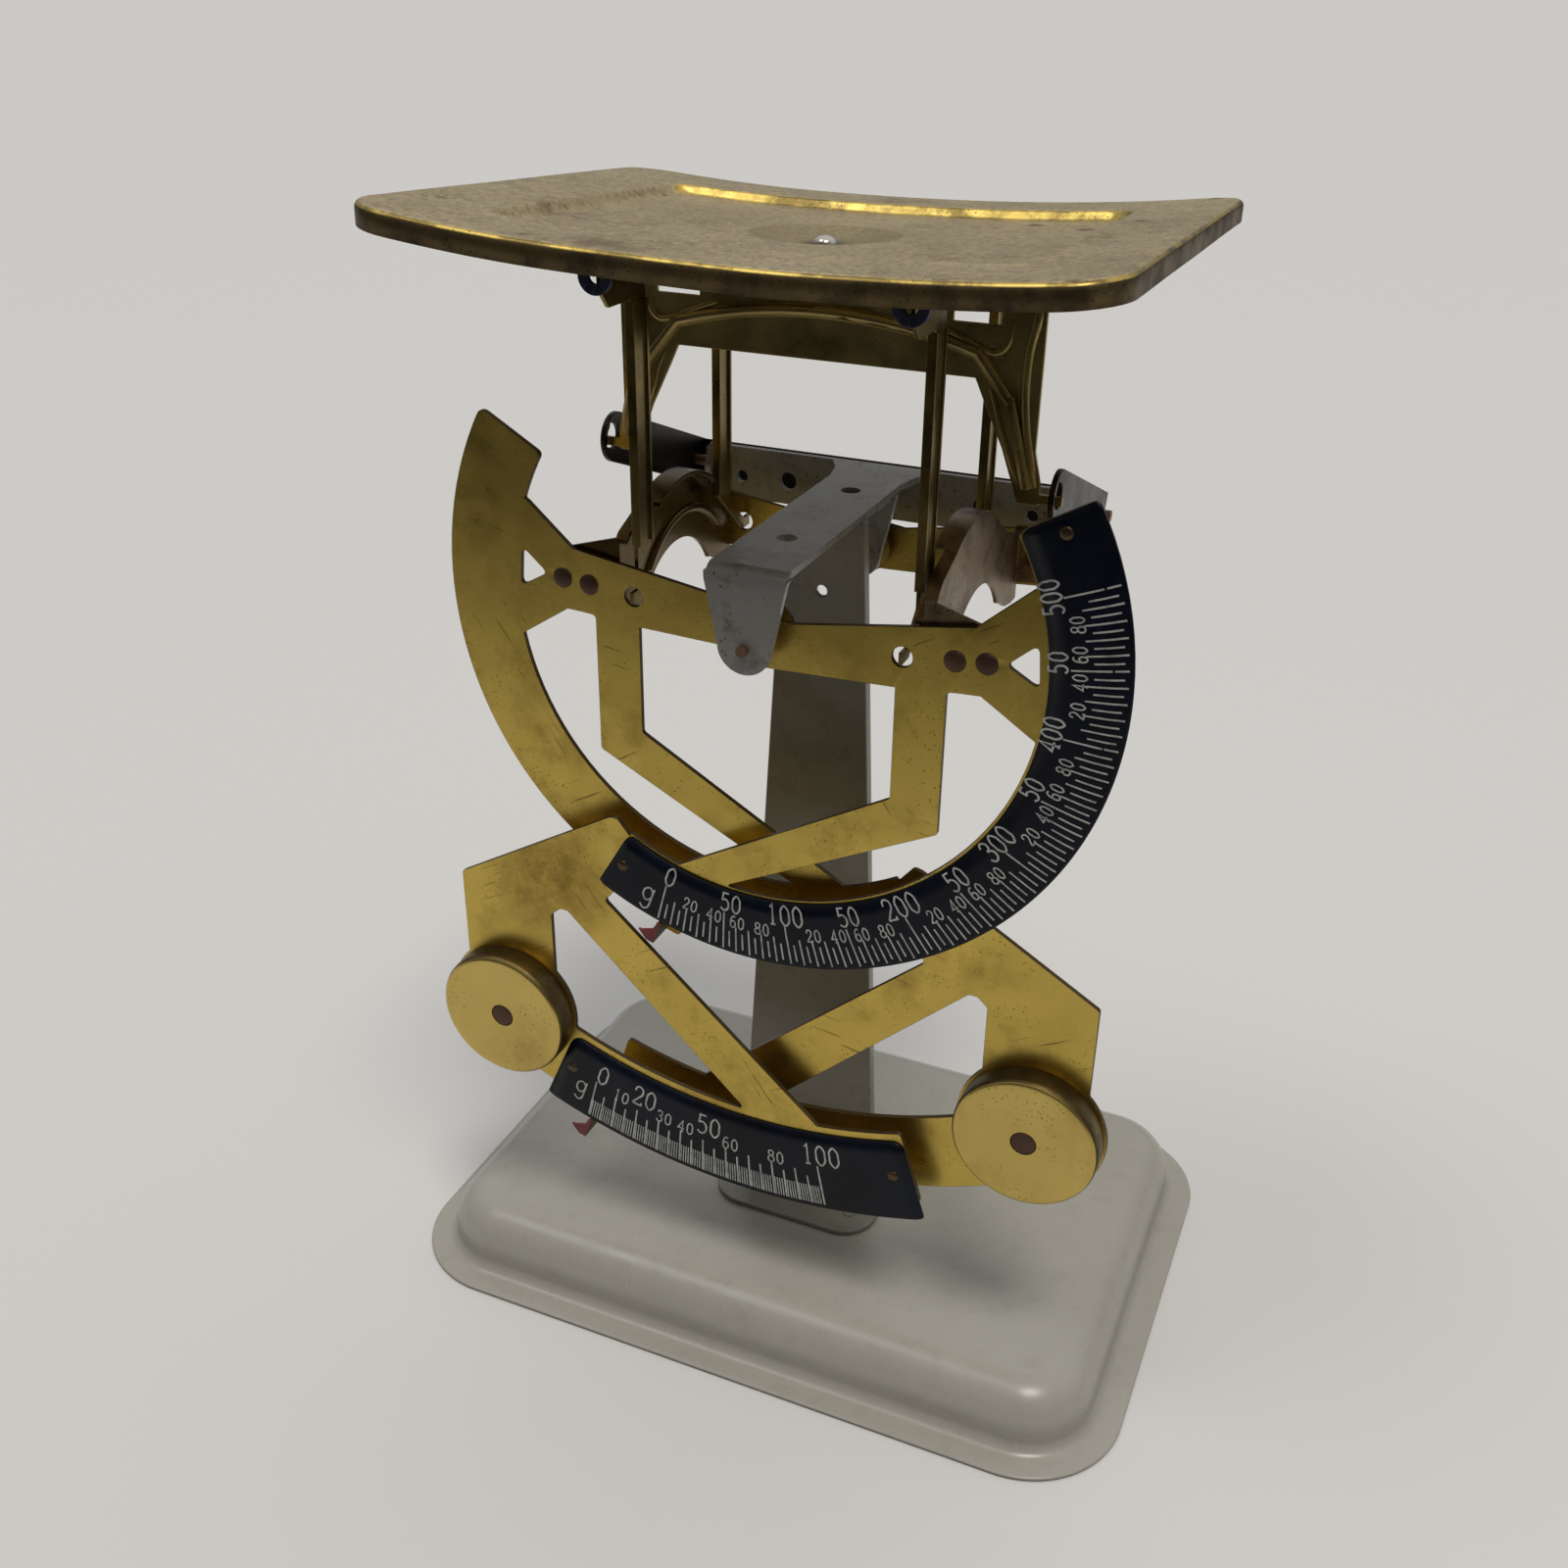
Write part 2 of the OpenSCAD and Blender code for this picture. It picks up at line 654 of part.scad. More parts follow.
module front_weight_rivet() {
    color("#6b4a33") weight_rivet(front_y);
}

module rear_weight_rivet() {
    color("#6b4a33") mirror([1, 0, 0]) weight_rivet(rear_plate_y);
}

// Side view of the arch bracket's web: y from the front plate's face, z from the pivot.
// inset is how far the upper edge is brought in
module arch_side(y_from, y_to, inset = 0) {
    intersection() {
        difference() {
            union() {
                translate([31.3, -2.8]) circle(25.2 - inset);
                polygon([[0, -10], [0, 9 - inset], [6.3, 12.5 - inset], [9, 15.1 - inset],
                    [22.9, 20.8 - inset], [47.3, 16.3 - inset], [54.9, 11.8 - inset],
                    [63, 9 - inset], [70, 8.8 - inset], [70, -10]]);
            }
            translate([34.9, -13.5]) circle(18.8);
        }
        polygon([[0, -4], [0, 30], [70, 30], [70, -7.9], [62.5, -7.9], [57.8, -7], [52, -4]]);
        translate([y_from, -20]) square([y_to - y_from, 60]);
    }
}

// Arch bracket: a web from front to back with flanges that are riveted to the levers.
// y_from and y_to are its outer faces, from the front plate's face
module arch_bracket(y_from, y_to) {
    root = web_x - web_t / 2;
    rim = 2;
    deep_rim = 4.3;
    translate([0, front_y, pivot_z]) {
        fore_aft(root, web_t) arch_side(y_from, y_to);
        // Upper edge turned inward, deeper between the two legs
        fore_aft(root - rim, rim) difference() {
            arch_side(y_from, 50);
            arch_side(y_from - 1, 51, web_t);
            translate([-1, -20]) square([80, 27]);
        }
        fore_aft(root - deep_rim, deep_rim) difference() {
            arch_side(19, 46);
            arch_side(18, 47, web_t);
            translate([-1, -20]) square([80, 27]);
        }
        // Pressed rib around the arch opening
        translate([root, 38, -11]) rotate([0, -90, 0]) intersection() {
            rotate_extrude() translate([22.5, 0]) circle(1, $fn = 32);
            translate([14, -20, 0]) cube([12, 40, 4]);
        }
        bracket_flange(y_from, root, root + 16.4, 14, front_bar_rivets);
        bracket_flange(y_to - web_t, root, lever_len - 0.6, 10, lever_rivets);
    }
}

module bracket_flange(y, u_from, u_to, rise, rivet_places) {
    translate([0, y + web_t, 0]) rotate([90, 0, 0]) linear_extrude(web_t) difference() {
        polygon([[u_from, -3.8], [u_to, -2.8], [u_to, 9.4], [u_from + 1, rise], [u_from, rise]]);
        for (p = rivet_places) translate(p) circle(rivet_r + rivet_fit);
    }
}

module right_arch_bracket() {
    color("#8f7440") arch_bracket(plate_t, right_lever_y - front_y);
}

module left_arch_bracket() {
    color("#8f7440") mirror([1, 0, 0]) arch_bracket(plate_pitch + plate_t, lever_y - front_y);
}

module right_lever() {
    color("#a3853c") upright(right_lever_y, plate_t) difference() {
        lever_outline(lever_len);
        lever_holes(lever_rivets);
    }
}

module left_lever() {
    color("#a3853c") upright(lever_y, plate_t) mirror([1, 0]) difference() {
        lever_outline(lever_len);
        lever_holes(lever_rivets);
    }
}

// Rivets of one arch bracket, at the front plate and at the rear lever
module bracket_rivets(y_front, y_rear) {
    for (p = front_bar_rivets)
        rivet(p[0], p[1], y_front, y_front + plate_t + web_t, rivet_r, rivet_head_r, rivet_head_h);
    for (p = lever_rivets)
        rivet(p[0], p[1], y_rear - web_t, y_rear + plate_t, rivet_r, rivet_head_r, rivet_head_h);
}

module right_bracket_rivets() {
    color("#6b4a33") bracket_rivets(front_y, right_lever_y);
}

module left_bracket_rivets() {
    color("#6b4a33") mirror([1, 0, 0]) bracket_rivets(rear_plate_y, lever_y);
}

// Leg seen from the right, with y running away from the middle of the scale: a straight
// channel, a blade at the bottom for the load hole and a hooked arm at the top
module leg(y_mid, y_hole, y_lug, y_dir) {
    half = leg_d / 2;
    hole_y = (y_hole - y_mid) * y_dir;
    lug_y = (y_lug - y_mid) * y_dir;
    knee_z = pivot_z + 12.5;
    blade = 1.25;
    hook_z = lug_z;
    z_hole = pivot_z + load_v;
    side_x = load_u - leg_t / 2;
    translate([0, y_mid, 0]) mirror([0, y_dir < 0 ? 1 : 0, 0]) {
        fore_aft(side_x, leg_t) polygon([
            [-half, knee_z], [half - 0.6, knee_z - 5], [hole_y - 4, z_hole - blade],
            [hole_y, z_hole - blade], [hole_y, z_hole + blade], [hole_y - 3, z_hole + blade],
            [half + 0.2, knee_z - 3.5], [half, knee_z + 1], [half, hook_z - 6.6],
            [lug_y - 3.6, hook_z - 6.6], [lug_y - 0.4, hook_z - 3], [lug_y - 0.4, hook_z + 0.3],
            [half, hook_z + 0.3], [-half + 1.5, hook_z - 1], [-half, hook_z - 3.5]]);
        // Turned edges that make the channel
        for (y = [-half, half - leg_t])
            translate([load_u - leg_w / 2, y, knee_z]) cube([leg_w, leg_t, hook_z - 7 - knee_z]);
    }
}

module front_right_leg() {
    color("#7d6335") leg(front_leg_y, front_blade_y, front_lug_y + rail_t / 2, -1);
}

module rear_right_leg() {
    color("#7d6335") leg(rear_leg_y, right_lever_y + plate_t + 1, rear_lug_y - rail_t / 2, 1);
}

module front_left_leg() {
    color("#7d6335") mirror([1, 0, 0]) leg(front_leg_y, rear_blade_y, front_lug_y + rail_t / 2, -1);
}

module rear_left_leg() {
    color("#7d6335") mirror([1, 0, 0]) leg(rear_leg_y, lever_y + plate_t + 1, rear_lug_y - rail_t / 2, 1);
}

// A bowed sheet: the space between two cylinders that run from front to back
module bowed_sheet(top, t) {
    translate([0, -pan_d, top + pan_bow_r]) rotate([-90, 0, 0]) difference() {
        cylinder(r = pan_bow_r + t, h = 2 * pan_d, $fn = 400);
        translate([0, 0, -1]) cylinder(r = pan_bow_r, h = 2 * pan_d + 2, $fn = 400);
    }
}

// Pan: a bowed tray with a turned-down rim and a recessed floor
module pan() {
    floor_w = pan_w - 2 * pan_border;
    floor_d = pan_d - 2 * pan_border;
    high = 30;
    color("#a18a52") pan_place() difference() {
        union() {
            intersection() {
                bowed_sheet(0, pan_t);
                translate([0, 0, -high]) linear_extrude(2 * high) difference() {
                    rounded_rect(pan_w, pan_d, pan_corner);
                    rounded_rect(floor_w, floor_d, 6);
                }
            }
            intersection() {
                bowed_sheet(0, pan_rim);
                translate([0, 0, -high]) linear_extrude(2 * high) difference() {
                    rounded_rect(pan_w, pan_d, pan_corner);
                    rounded_rect(pan_w - 2 * pan_t, pan_d - 2 * pan_t, pan_corner - pan_t);
                }
            }
            intersection() {
                bowed_sheet(0, pan_recess + pan_t);
                translate([0, 0, -high]) linear_extrude(2 * high) difference() {
                    rounded_rect(floor_w + 2 * pan_t, floor_d + 2 * pan_t, 6 + pan_t);
                    rounded_rect(floor_w, floor_d, 6);
                }
            }
            intersection() {
                bowed_sheet(-pan_recess, pan_t);
                translate([0, 0, -high]) linear_extrude(2 * high) rounded_rect(floor_w, floor_d, 6);
            }
        }
        translate([0, 0, -high]) cylinder(r = screw_r + rivet_fit, h = 2 * high);
    }
}

module pan_place() {
    translate([0, pan_y, pan_top_z]) rotate([-pan_lean, 0, 0]) children();
}

module pan_screw() {
    color("#b9a36a") pan_place() {
        translate([0, 0, seat_gap - pan_recess]) intersection() {
            cylinder(r = 3.6, h = 1.4);
            translate([0, 0, -4.2]) sphere(5.4);
        }
        translate([0, 0, -pan_recess - pan_t - 6]) cylinder(r = screw_r, h = pan_t + 7);
    }
}

// Rail: a strip under the pan whose ends are turned down into round lugs
module rail() {
    x = load_u;
    half = rail_w / 2;
    difference() {
        translate([x - half, front_lug_y - rail_t / 2, rail_z]) cube([rail_w, lug_span + rail_t, rail_t]);
        rail_rivet_places() cylinder(r = rivet_r + rivet_fit, h = 10, center = true);
    }
    for (y = [front_lug_y, rear_lug_y])
        difference() {
            union() {
                translate([x - half, y - rail_t / 2, lug_z + 1]) cube([rail_w, rail_t, lug_r - 1]);
                bar_y(x, lug_z, y - rail_t / 2, y + rail_t / 2, lug_r);
            }
            bar_y(x, lug_z, y - rail_t, y + rail_t, lug_hole_r);
        }
}

module rail_rivet_places() {
    for (s = [-1, 1]) translate([s * load_u, pan_y + 6, rail_z]) children();
}

module rail_rivets() {
    color("#8a7440") rail_rivet_places() {
        translate([0, 0, -trestle_t - 0.8]) cylinder(r = 2.6, h = 0.8);
        translate([0, 0, -trestle_t - 0.8]) cylinder(r = rivet_r, h = trestle_t + rail_t + 0.8);
    }
}

module right_rail() {
    color("#3f4a58") rail();
}

module left_rail() {
    color("#3f4a58") mirror([1, 0, 0]) rail();
}

module lug_pins() {
    r = 0.7;
    color("#a08648") for (s = [-1, 1]) {
        bar_y(s * load_u, lug_z + lug_hole_r - r, front_lug_y - rail_t / 2 - 0.3,
            front_lug_y + rail_t / 2, r);
        bar_y(s * load_u, lug_z + lug_hole_r - r, rear_lug_y - rail_t / 2,
            rear_lug_y + rail_t / 2 + 0.3, r);
    }
}

// Trestle: a pressed plate across the scale, hung under the rails, whose two legs
// run in the yoke's front holes
module trestle() {
    z0 = pivot_z;
    top = rail_z - z0;
    under = beam_under_z - z0;
    tip = trestle_tip_z - z0;
    y = pan_y - trestle_t / 2;
    flange_d = 12;
    color("#9a7f40") difference() {
        union() {
            upright(y, trestle_t) {
                for (s = [0, 1]) mirror([s, 0]) {
                    polygon([[0, under], [33.3, under], [35.5, under - 4.7], [39.8, under - 13.5],
                        [43, tip + 1], [43.9, tip - 1.4], [48.4, tip - 1.4], [48.4, tip + 3],
                        [trestle_half - 0.2, tip + 9.6], [trestle_half, top - 3], [trestle_half - 3, top],
                        [0, top]]);
                    translate([48, tip - 1]) square([yoke_half + yoke_t + 1.2 - 48, 2]);
                }
            }
            translate([-trestle_half + 3, y, rail_z - trestle_t])
                cube([2 * trestle_half - 6, flange_d, trestle_t]);
            // Boss that takes the pan's screw
            translate([0, pan_y, rail_z - 3])
                cylinder(r = 4.5, h = pan_top_z - rail_z + 3 - pan_recess - pan_t - side_play);
            trestle_ribs(y);
        }
        pan_place() translate([0, 0, -15]) cylinder(r = screw_r + rivet_fit, h = 20);
        rail_rivet_places() cylinder(r = rivet_r + rivet_fit, h = 10, center = true);
        for (s = [-1, 1]) translate([s * 33, pan_y, beam_under_z + 12.3]) cube([10, 6, 3], center = true);
    }
}

// Pressed ribs on the trestle's front: a flat arch that runs on into the two legs
module trestle_ribs(y) {
    arch_r = 118;
    arch_half = 34;
    crown_z = beam_under_z + 10;
    spring_z = crown_z - arch_r + sqrt(arch_r * arch_r - arch_half * arch_half);
    translate([0, y, 0]) rotate([90, 0, 0]) intersection() {
        union() {
            intersection() {
                translate([0, crown_z - arch_r, 0]) rotate_extrude()
                    translate([arch_r, 0]) circle(rib_r, $fn = 32);
                translate([-arch_half, spring_z - 1, -3]) cube([2 * arch_half, 10, 6]);
            }
            for (s = [0, 1]) mirror([s, 0, 0]) {
                rib([arch_half - 0.8, spring_z + 0.6], [41, spring_z - 9]);
                rib([40.8, spring_z - 8], [45.8, trestle_tip_z + 2]);
            }
        }
        translate([-60, 0, 0]) cube([120, lug_z, 3]);
    }
}

// One straight length of a rib
module rib(from, to) {
    run = to - from;
    translate([from[0], from[1], 0]) rotate([0, 0, atan2(run[1], run[0])]) rotate([0, 90, 0])
        cylinder(r = rib_r, h = norm(run), $fn = 32);
}

// Guide yoke: a strip bent into a U whose cheeks slope from the pins to the front holes
module yoke_cheek() {
    half = yoke_h / 2;
    front = -yoke_reach - half + hole_half - 1.2;
    difference() {
        union() {
            translate([front + half, 0]) circle(half);
            translate([front + half, -half]) square([yoke_web_y - front - half, yoke_h]);
        }
        circle(yoke_pin_r + run_fit);
        // Hole for the trestle's ear, flat towards the front
        translate([-yoke_reach, 0]) circle(hole_half);
        translate([-yoke_reach - 2.3, -hole_half]) square([2.3, 2 * hole_half]);
    }
}

module guide_yoke() {
    web_y = yoke_web_y - yoke_t;
    color("#3b3733") translate([0, yoke_pin_y, yoke_pin_z]) rotate([-yoke_slope, 0, 0]) {
        for (x = [-yoke_half - yoke_t, yoke_half])
            fore_aft(x, yoke_t) yoke_cheek();
        translate([-yoke_half - yoke_t, web_y, -yoke_h / 2]) cube([2 * yoke_half + 2 * yoke_t, yoke_t, yoke_h]);
    }
}

base_shell();
post();
post_rivets();
axle_bracket();
rear_tongue();
front_pivot_pin();
rear_pivot_pin();
pivot_spacers();
pin_clips();
yoke_pins();
front_sector_plate();
main_scale_strip();
fine_scale_strip();
scale_rivets();
front_counterweight();
front_weight_rivet();
right_arch_bracket();
right_lever();
right_bracket_rivets();
rear_sector_plate();
rear_counterweight();
rear_weight_rivet();
left_arch_bracket();
left_lever();
left_bracket_rivets();
upper_pointer();
lower_pointer();
front_right_leg();
rear_right_leg();
front_left_leg();
rear_left_leg();
pan();
pan_screw();
left_rail();
right_rail();
rail_rivets();
lug_pins();
trestle();
guide_yoke();
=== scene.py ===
import math
import bpy
import bmesh
from mathutils import Matrix, Vector, noise as smooth_noise


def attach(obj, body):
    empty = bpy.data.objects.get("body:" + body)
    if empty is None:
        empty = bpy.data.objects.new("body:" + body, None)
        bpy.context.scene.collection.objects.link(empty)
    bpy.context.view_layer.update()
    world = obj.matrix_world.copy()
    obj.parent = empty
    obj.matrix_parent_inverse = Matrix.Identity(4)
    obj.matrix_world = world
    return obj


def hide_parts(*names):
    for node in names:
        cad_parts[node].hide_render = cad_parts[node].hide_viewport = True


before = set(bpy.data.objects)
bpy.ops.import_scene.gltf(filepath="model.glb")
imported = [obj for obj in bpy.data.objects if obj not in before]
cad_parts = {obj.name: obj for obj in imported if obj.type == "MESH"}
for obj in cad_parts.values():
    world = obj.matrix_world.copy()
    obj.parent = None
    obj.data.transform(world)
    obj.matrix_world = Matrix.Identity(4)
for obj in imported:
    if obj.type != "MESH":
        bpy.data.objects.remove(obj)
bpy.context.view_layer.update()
mm = 0.001

# Camera: it stands in front of the scale, a little to its right and above the pan's height,
# and looks down past the pan at the dials and the base.
azimuth, elevation, roll = math.radians(23.033), math.radians(27.557), math.radians(0.828)
camera_place = (0.126155, -0.326619, 0.317210)
forward = Vector((-math.sin(azimuth) * math.cos(elevation),
                  math.cos(azimuth) * math.cos(elevation), -math.sin(elevation)))
level = Vector((math.cos(azimuth), math.sin(azimuth), 0))
upward = level.cross(forward)
picture_right = level * math.cos(roll) + upward * math.sin(roll)
picture_up = upward * math.cos(roll) - level * math.sin(roll)
camera_data = bpy.data.cameras.new("view")
camera_data.sensor_width = 36
camera_data.lens = 37.04
camera_data.clip_start = 0.01
camera = bpy.data.objects.new("view", camera_data)
bpy.context.scene.collection.objects.link(camera)
camera.matrix_world = (Matrix.Translation(camera_place)
                       @ Matrix((picture_right, picture_up, -forward)).transposed().to_4x4())
bpy.context.scene.camera = camera
bpy.context.scene.view_settings.view_transform = "Standard"


# Studio: a wide pale table in the soft white light of a room with a pale ceiling. The light
# comes from above and a little from the right, a weaker one from the left glints along the
# base's front edge, and the room in front of the table is dim, as upright metal shows.
def new_material(name, roughness=0.5, metallic=0.0):
    material = bpy.data.materials.new(name)
    material.use_nodes = True
    shader = material.node_tree.nodes["Principled BSDF"]
    shader.inputs["Roughness"].default_value = roughness
    shader.inputs["Metallic"].default_value = metallic
    return material, shader


def add_piece(mesh, name, *materials):
    piece = bpy.data.objects.new(name, mesh)
    for material in materials:
        mesh.materials.append(material)
    bpy.context.scene.collection.objects.link(piece)
    return piece


def soft_light(name, place, width, strength, colour):
    """A distant light, so many degrees wide, that shines from the side of `place`."""
    light_data = bpy.data.lights.new(name, "SUN")
    light_data.angle = math.radians(width)
    light_data.energy = strength
    light_data.color = colour
    light = bpy.data.objects.new(name, light_data)
    bpy.context.scene.collection.objects.link(light)
    light.matrix_world = (-Vector(place)).to_track_quat("-Z", "Y").to_matrix().to_4x4()


def set_or_link(material, value, socket):
    if isinstance(value, bpy.types.NodeSocket):
        material.node_tree.links.new(value, socket)
    else:
        socket.default_value = (*value, 1) if socket.type == "RGBA" else value


def shader_node(material, kind, inputs, **settings):
    """A node with its settings made and its inputs set or linked, by name or number."""
    node = material.node_tree.nodes.new("ShaderNode" + kind)
    for name, value in settings.items():
        setattr(node, name, value)
    for key, value in inputs.items():
        set_or_link(material, value, node.inputs[key])
    return node


def steps(material, value, *stops):
    """A ramp from stop to stop. Each stop is (position, grey or colour)."""
    node = shader_node(material, "ValToRGB", {"Fac": value})
    while len(node.color_ramp.elements) < len(stops):
        node.color_ramp.elements.new(0.5)
    for element, (position, shade) in zip(node.color_ramp.elements, stops):
        element.position = position
        element.color = (shade, shade, shade, 1) if isinstance(shade, (int, float)) else (*shade, 1)
    return node.outputs["Color"]


table_paint, shader = new_material("pale_table", roughness=0.6)
shader.inputs["Base Color"].default_value = (0.71, 0.70, 0.685, 1)
shader.inputs["Specular IOR Level"].default_value = 0.3
table_half, near_edge = 30, -0.40
bm = bmesh.new()
bmesh.ops.create_grid(bm, x_segments=1, y_segments=1, size=table_half)
bmesh.ops.translate(bm, verts=bm.verts, vec=(0, table_half + near_edge, 0))
table_mesh = bpy.data.meshes.new("table")
bm.to_mesh(table_mesh)
bm.free()
add_piece(table_mesh, "table", table_paint)

soft_light("main_light", (0.25, -0.30, 1.0), 17, 1.30, (1.0, 0.96, 0.90))
soft_light("side_light", (-0.38, -0.23, 1.0), 20, 0.34, (0.97, 0.98, 1.0))
room = bpy.data.worlds.new("room")
bpy.context.scene.world = room
room.use_nodes = True
seen_wall = room.node_tree.nodes["Background"]
seen_wall.inputs["Color"].default_value = (0.56, 0.555, 0.54, 1)
room_place = shader_node(room, "TexCoord", {})
room_parts = shader_node(room, "SeparateXYZ", {0: room_place.outputs["Generated"]})
room_height = steps(room, room_parts.outputs["Z"], (0, (0.045, 0.043, 0.04)), (0.25, (0.30, 0.31, 0.32)),
                    (0.60, (0.60, 0.61, 0.62)), (1, (0.80, 0.79, 0.77)))
room_depth = shader_node(room, "MapRange", {"Value": room_parts.outputs["Y"], "From Min": -0.7,
                                            "From Max": 0.5, "To Min": 0.22, "To Max": 1.0})
room_light = shader_node(room, "Background", {"Color": room_height,
                                              "Strength": room_depth.outputs["Result"]})
ray_kind = shader_node(room, "LightPath", {})
choose_wall = shader_node(room, "MixShader", {0: ray_kind.outputs["Is Camera Ray"],
                                              1: room_light.outputs[0], 2: seen_wall.outputs[0]})
set_or_link(room, choose_wall.outputs[0], room.node_tree.nodes["World Output"].inputs["Surface"])


# Base: one steel pressing, a low dome with a flat lip all round and open underneath, drawn
# from 1.2 mm sheet and stove-enamelled a warm grey in a satin coat.
def pattern_place(material, stretch=(1, 1, 1), turn=(0, 0, 0), shift=(0, 0, 0)):
    """The place on the piece, turned first and stretched and shifted after that."""
    place = shader_node(material, "TexCoord", {}).outputs["Object"]
    for inputs in ({"Rotation": [math.radians(a) for a in turn]}, {"Scale": stretch, "Location": shift}):
        place = shader_node(material, "Mapping", {"Vector": place, **inputs}).outputs["Vector"]
    return place


def clouds(material, scale, detail=4, harshness=0.55, **place):
    inputs = {"Scale": scale, "Detail": detail, "Roughness": harshness}
    inputs["Vector"] = pattern_place(material, **place)
    return shader_node(material, "TexNoise", inputs).outputs["Fac"]


def specks(material, scale, inner, outer, **place):
    """Round dots of 1 that fade to 0 between two distances from their middles."""
    inputs = {"Scale": scale, "Vector": pattern_place(material, **place)}
    node = shader_node(material, "TexVoronoi", inputs)
    return steps(material, node.outputs["Distance"], (inner, 1.0), (outer, 0.0))


def patches(material, scale, low, high, *cloud, **place):
    """Cloudy patches of 1, and 0 between them."""
    return steps(material, clouds(material, scale, *cloud, **place), (low, 0.0), (high, 1.0))


def blended(material, amount, first, second):
    return shader_node(material, "Mix", {0: amount, 6: first, 7: second}, data_type="RGBA").outputs[2]


def product(material, value, *factors):
    for factor in factors:
        value = shader_node(material, "Math", {0: value, 1: factor}, operation="MULTIPLY").outputs[0]
    return value


def overlay(material, colour, *amounts):
    """Lays a colour over the finish so far, as strongly as the amounts together say."""
    base = material.node_tree.nodes["Principled BSDF"].inputs["Base Color"]
    amount = product(material, *amounts)
    set_or_link(material, blended(material, amount, base.links[0].from_socket, colour), base)


def roughen(material, shader, height, strength, depth):
    inputs = {"Strength": strength, "Distance": depth, "Height": height}
    last = shader.inputs["Normal"]
    if last.is_linked:
        inputs["Normal"] = last.links[0].from_socket
    set_or_link(material, shader_node(material, "Bump", inputs).outputs["Normal"], last)


def grey_enamel_finish(name, colour, dirt, grime):
    material, shader = new_material(name)
    cloudy = patches(material, 22, 0.3, 0.75, 5)
    shade = blended(material, cloudy, colour, [c * 1.07 for c in colour])
    set_or_link(material, shade, shader.inputs["Base Color"])
    overlay(material, dirt, patches(material, 160, 0.52, 0.72, 8, 0.7), grime)
    spots = specks(material, 420, 0.05, 0.11)
    overlay(material, dirt, spots, patches(material, 60, 0.55, 0.62, 3), min(1.0, grime + 0.3))
    set_or_link(material, steps(material, clouds(material, 90, 5), (0.3, 0.24), (0.8, 0.38)),
                shader.inputs["Roughness"])
    shader.inputs["Specular IOR Level"].default_value = 0.5
    roughen(material, shader, clouds(material, 900, 3), 0.08, 0.0002)
    roughen(material, shader, clouds(material, 55, 2), 0.10, 0.0006)
    return material


base_enamel = grey_enamel_finish("base_enamel", (0.36, 0.345, 0.30), (0.15, 0.13, 0.10), 0.18)


def finished(bm, name, body, slot, *materials, crease=35, replaces=()):
    """Makes a piece of the mesh. Angles sharper than the crease, in degrees, stay sharp."""
    mesh = bpy.data.meshes.new(name)
    bm.to_mesh(mesh)
    bm.free()
    mesh.shade_smooth()
    mesh.set_sharp_from_angle(angle=math.radians(crease))
    piece = add_piece(mesh, name, *materials)
    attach(piece, body)
    if replaces:
        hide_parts(*replaces)
    return piece


def thickened(piece, thickness):
    """Gives a surface its sheet's thickness, behind the side that it shows."""
    sheet = piece.modifiers.new("sheet", "SOLIDIFY")
    sheet.thickness = thickness
    sheet.offset = -1
    return sheet


def faced(bm, axis, sign):
    """Makes the faces look one way, along the axis or, with -1, against it."""
    bmesh.ops.recalc_face_normals(bm, faces=bm.faces)
    if sign * sum(face.normal[axis] for face in bm.faces) < 0:
        bmesh.ops.reverse_faces(bm, faces=bm.faces)


def ring_round_rectangle(bm, width, depth, profile):
    """Sweeps a section round a rectangle. Each profile step is (corner radius, height)."""
    bmesh.ops.create_circle(bm, segments=112, radius=1,
                            matrix=Matrix.Rotation(math.pi / 112, 4, "Z"))
    edges = bm.edges[:]
    for step in range(1, len(profile)):
        grown = bmesh.ops.extrude_edge_only(bm, edges=edges)["geom"]
        edges = [e for e in grown if isinstance(e, bmesh.types.BMEdge)]
        risen = [v for v in grown if isinstance(v, bmesh.types.BMVert)]
        bmesh.ops.translate(bm, verts=risen, vec=(0, 0, 1))
    bmesh.ops.edgeloop_fill(bm, edges=edges)
    corner = profile[0][0]
    for v in bm.verts:
        radius, height = profile[round(v.co.z)]
        v.co = (math.copysign(width / 2 - corner, v.co.x) + v.co.x * radius,
                math.copysign(depth / 2 - corner, v.co.y) + v.co.y * radius, height)


base_width, base_depth, base_height, base_sheet = 192, 134.7, 17, 1.2
lip_corner, dome_wall, foot_round, top_round = 25, 17.4, 3.2, 10
base_profile = [(lip_corner - inset, height)
                for inset, height in ((0, 0.6), (0.1, 0.95), (0.35, 1.15), (0.7, base_sheet))]
base_profile += [(dome_wall + foot_round * (1 - math.sin(a)), base_sheet + foot_round * (1 - math.cos(a)))
                 for a in (step * math.pi / 12 for step in range(7))]
base_profile += [(dome_wall - top_round * (1 - math.cos(a)), base_height - top_round * (1 - math.sin(a)))
                 for a in (step * math.pi / 24 for step in range(13))]
base_profile += [(6.6, base_height)]
bm = bmesh.new()
ring_round_rectangle(bm, base_width, base_depth, base_profile)
bmesh.ops.scale(bm, vec=(mm, mm, mm), verts=bm.verts)
faced(bm, 2, 1)
base_piece = finished(bm, "base_pressing", "stand", "grey_enamel", base_enamel, crease=60,
                      replaces=("base_shell",))
thickened(base_piece, base_sheet * mm)


